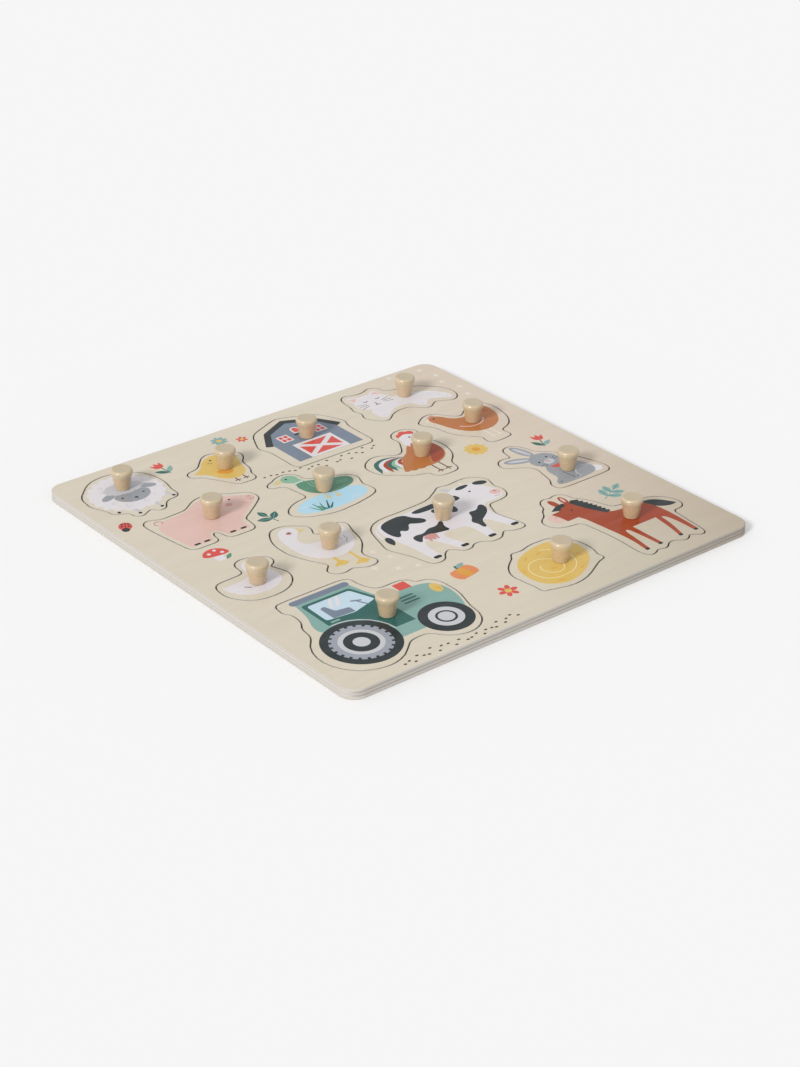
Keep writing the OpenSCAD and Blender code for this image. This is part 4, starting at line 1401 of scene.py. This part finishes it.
class PUZZLE_OT_garden(bpy.types.Operator):
    """Small plants printed on the board between the pockets"""

    bl_idname = "puzzle.garden"
    bl_label = "Garden"

    def execute(self, context):
        picture = Picture("garden_print")
        for draw, x, y, turn, *more in (
            (tulip, -106, 171, 14),
            (flower, -41, 183, 0, 8, 4.6, "leaf", "yellow"),
            (flower, -24, 174, 20, 6, 3.2, "red", "yellow"),
            (ladybird, -186, 104, 62),
            (sprig, -88, 40, 12, 1, "pine", "leaf"),
            (toadstool, -157, 20.5, -8),
            (flower, 117, 36, 12, 10, 6.4, "yellow", "amber"),
            (tulip, 171, 15, -14),
            (sprig, 142, -95.5, -64, 2, "leaf", "pine"),
            (pumpkin, -27, -118, 10),
            (flower, -20, -160, 0, 6, 5.2, "red", "yellow"),
        ):
            picture.at(x, y, turn)
            draw(picture, *more)
        for x, y, turn in (
            (-61, -50, 10), (-55.5, -64, 40), (-76, -71, 0), (-62, -82, 30), (-47.5, -88, 5),
            (150, 193, 20), (182, 189, 40), (187, 172, 0), (182, 158, 25), (188, 141, 10),
            (184, 125, 35),
        ):
            picture.at(x, y, turn)
            flake(picture)
        picture.at()
        pebbles(picture, 22, [
            (-54, 104.6, 0.5), (-29, 101.4, 0.8), (-7, 94.6, 3.4), (16, 92.2, 5.2),
            (35, 93.4, 5.2), (58, 95, 2),
        ])
        pebbles(picture, 24, [
            (-148, -193.5, 0.6), (-130, -191.5, 3.8), (-112, -190.4, 4.2), (-92, -193.6, 2.4),
            (-72, -194.2, 2.2), (-55, -191.4, 3.2), (-36, -188, 3),
        ])
        return picture.lay_on("top_panel", "board")


# Stage


def paper_sweep(settings):
    """White paper, matt and faintly mottled, that fades into an even backdrop further out."""
    white = tuple(settings.floor)
    paper, tree, surface = new_material("White paper sweep", Roughness=0.9)
    place = add_node(tree, "ShaderNodeTexCoord").outputs["Object"]
    mottle = add_node(
        tree, "ShaderNodeTexNoise", {"Vector": place, "Scale": 1 / settings.tooth, "Detail": 2}
    )
    grain = add_node(
        tree, "ShaderNodeMapRange", {"Value": mottle.outputs["Fac"], "To Min": 0.985, "To Max": 1}
    )
    shade = add_node(
        tree, "ShaderNodeVectorMath", {0: white, 1: grain.outputs["Result"]}, operation="MULTIPLY"
    )
    tree.links.new(shade.outputs[0], surface.inputs["Base Color"])
    # Only the camera sees the backdrop; the board is lit as if the paper went on
    reach = add_node(tree, "ShaderNodeVectorMath", {0: place}, operation="LENGTH")
    far = add_node(
        tree, "ShaderNodeMapRange",
        {"Value": reach.outputs["Value"], "From Min": settings.fade_start,
         "From Max": settings.fade_end},
        interpolation_type="SMOOTHSTEP",
    )
    seen = add_node(tree, "ShaderNodeLightPath").outputs["Is Camera Ray"]
    plain = add_node(
        tree, "ShaderNodeMath", {0: far.outputs["Result"], 1: seen}, operation="MULTIPLY"
    )
    glow = add_node(tree, "ShaderNodeEmission", {"Color": white, "Strength": 1})
    mixed = add_node(
        tree, "ShaderNodeMixShader",
        {0: plain.outputs[0], 1: surface.outputs["BSDF"], 2: glow.outputs["Emission"]},
    )
    output = next(n for n in tree.nodes if n.type == "OUTPUT_MATERIAL")
    tree.links.new(mixed.outputs[0], output.inputs["Surface"])
    return paper


def lay_floor(settings):
    """Round sheet of white paper under the board."""
    sweep = bmesh.new()
    bmesh.ops.create_circle(sweep, cap_ends=True, radius=settings.floor_radius, segments=64)
    data = bpy.data.meshes.new("floor")
    sweep.to_mesh(data)
    sweep.free()
    data.materials.append(paper_sweep(settings))
    floor = bpy.data.objects.new("floor", data)
    bpy.context.scene.collection.objects.link(floor)


def light_room(settings):
    """Soft light from all round, which the camera sees as a white wall."""
    world = bpy.data.worlds.new("Soft room light")
    bpy.context.scene.world = world
    world.use_nodes = True
    tree = world.node_tree
    tree.nodes.clear()
    seen = add_node(tree, "ShaderNodeLightPath").outputs["Is Camera Ray"]
    strength = add_node(
        tree, "ShaderNodeMapRange", {"Value": seen, "To Min": settings.sky, "To Max": 1}
    )
    light = add_node(
        tree, "ShaderNodeBackground",
        {"Color": settings.floor, "Strength": strength.outputs["Result"]},
    )
    add_node(tree, "ShaderNodeOutputWorld", {"Surface": light.outputs["Background"]})


def hang_lamp(settings):
    """One soft lamp from the upper left."""
    towards = Vector(settings.key_side)
    lamp = bpy.data.lights.new("key_lamp", "SUN")
    lamp.angle = settings.key_width
    lamp.energy = settings.key
    holder = bpy.data.objects.new("key_lamp", lamp)
    holder.location = towards
    holder.rotation_euler = (-towards).to_track_quat("-Z", "Y").to_euler()
    bpy.context.scene.collection.objects.link(holder)


def place_camera(settings):
    """Camera at the photograph's place."""
    lens = bpy.data.cameras.new("camera")
    lens.lens = settings.focal
    lens.sensor_width = SENSOR
    lens.sensor_fit = "AUTO"
    lens.clip_start, lens.clip_end = 50 * MM, 30
    camera = bpy.data.objects.new("camera", lens)
    back = Vector((
        math.sin(settings.azimuth) * math.cos(settings.elevation),
        -math.cos(settings.azimuth) * math.cos(settings.elevation),
        math.sin(settings.elevation),
    ))
    camera.location = Vector(settings.aim) + back * settings.distance
    turn = (-back).to_track_quat("-Z", "Y").to_matrix() @ Matrix.Rotation(settings.roll, 3, "Z")
    camera.rotation_euler = turn.to_euler()
    bpy.context.scene.collection.objects.link(camera)
    bpy.context.scene.camera = camera


class PUZZLE_OT_stage(bpy.types.Operator):
    """Camera, lamps and floor"""

    bl_idname = "puzzle.stage"
    bl_label = "Stage"

    def execute(self, context):
        settings = context.scene.puzzle_stage
        context.scene.view_settings.view_transform = "Standard"
        lay_floor(settings)
        light_room(settings)
        hang_lamp(settings)
        place_camera(settings)
        return {"FINISHED"}


# Registration

GROUPS = {
    "puzzle_wood": PUZZLE_PG_wood,
    "puzzle_ink": PUZZLE_PG_ink,
    "puzzle_stage": PUZZLE_PG_stage,
}
OPERATORS = (
    PUZZLE_OT_stage, PUZZLE_OT_board, PUZZLE_OT_knobs,
    PUZZLE_OT_sheep, PUZZLE_OT_chick, PUZZLE_OT_barn, PUZZLE_OT_cat,
    PUZZLE_OT_pig, PUZZLE_OT_duck, PUZZLE_OT_rooster, PUZZLE_OT_hen,
    PUZZLE_OT_duckling, PUZZLE_OT_goose, PUZZLE_OT_cow, PUZZLE_OT_rabbit,
    PUZZLE_OT_tractor, PUZZLE_OT_bale, PUZZLE_OT_horse, PUZZLE_OT_garden,
)


class PUZZLE_PT_panel(bpy.types.Panel):
    """Lists the puzzle's operators and settings"""

    bl_idname = "PUZZLE_PT_panel"
    bl_label = "Farm Peg Puzzle"
    bl_space_type = "VIEW_3D"
    bl_region_type = "UI"
    bl_category = "Peg Puzzle"

    def draw(self, context):
        for operator in OPERATORS:
            self.layout.operator(operator.bl_idname)
        for name, group in GROUPS.items():
            box = self.layout.box()
            for setting in group.__annotations__:
                box.prop(getattr(context.scene, name), setting)


CLASSES = (*GROUPS.values(), *OPERATORS, PUZZLE_PT_panel)


def register():
    """Adds the puzzle's classes and settings to Blender."""
    for cls in CLASSES:
        bpy.utils.register_class(cls)
    for name, group in GROUPS.items():
        setattr(bpy.types.Scene, name, PointerProperty(type=group))


def unregister():
    """Takes them away again."""
    for name in GROUPS:
        delattr(bpy.types.Scene, name)
    for cls in reversed(CLASSES):
        bpy.utils.unregister_class(cls)


def main():
    """Runs every operator in order."""
    register()
    for operator in OPERATORS:
        group, name = operator.bl_idname.split(".")
        getattr(getattr(bpy.ops, group), name)()


if __name__ == "__main__":
    main()
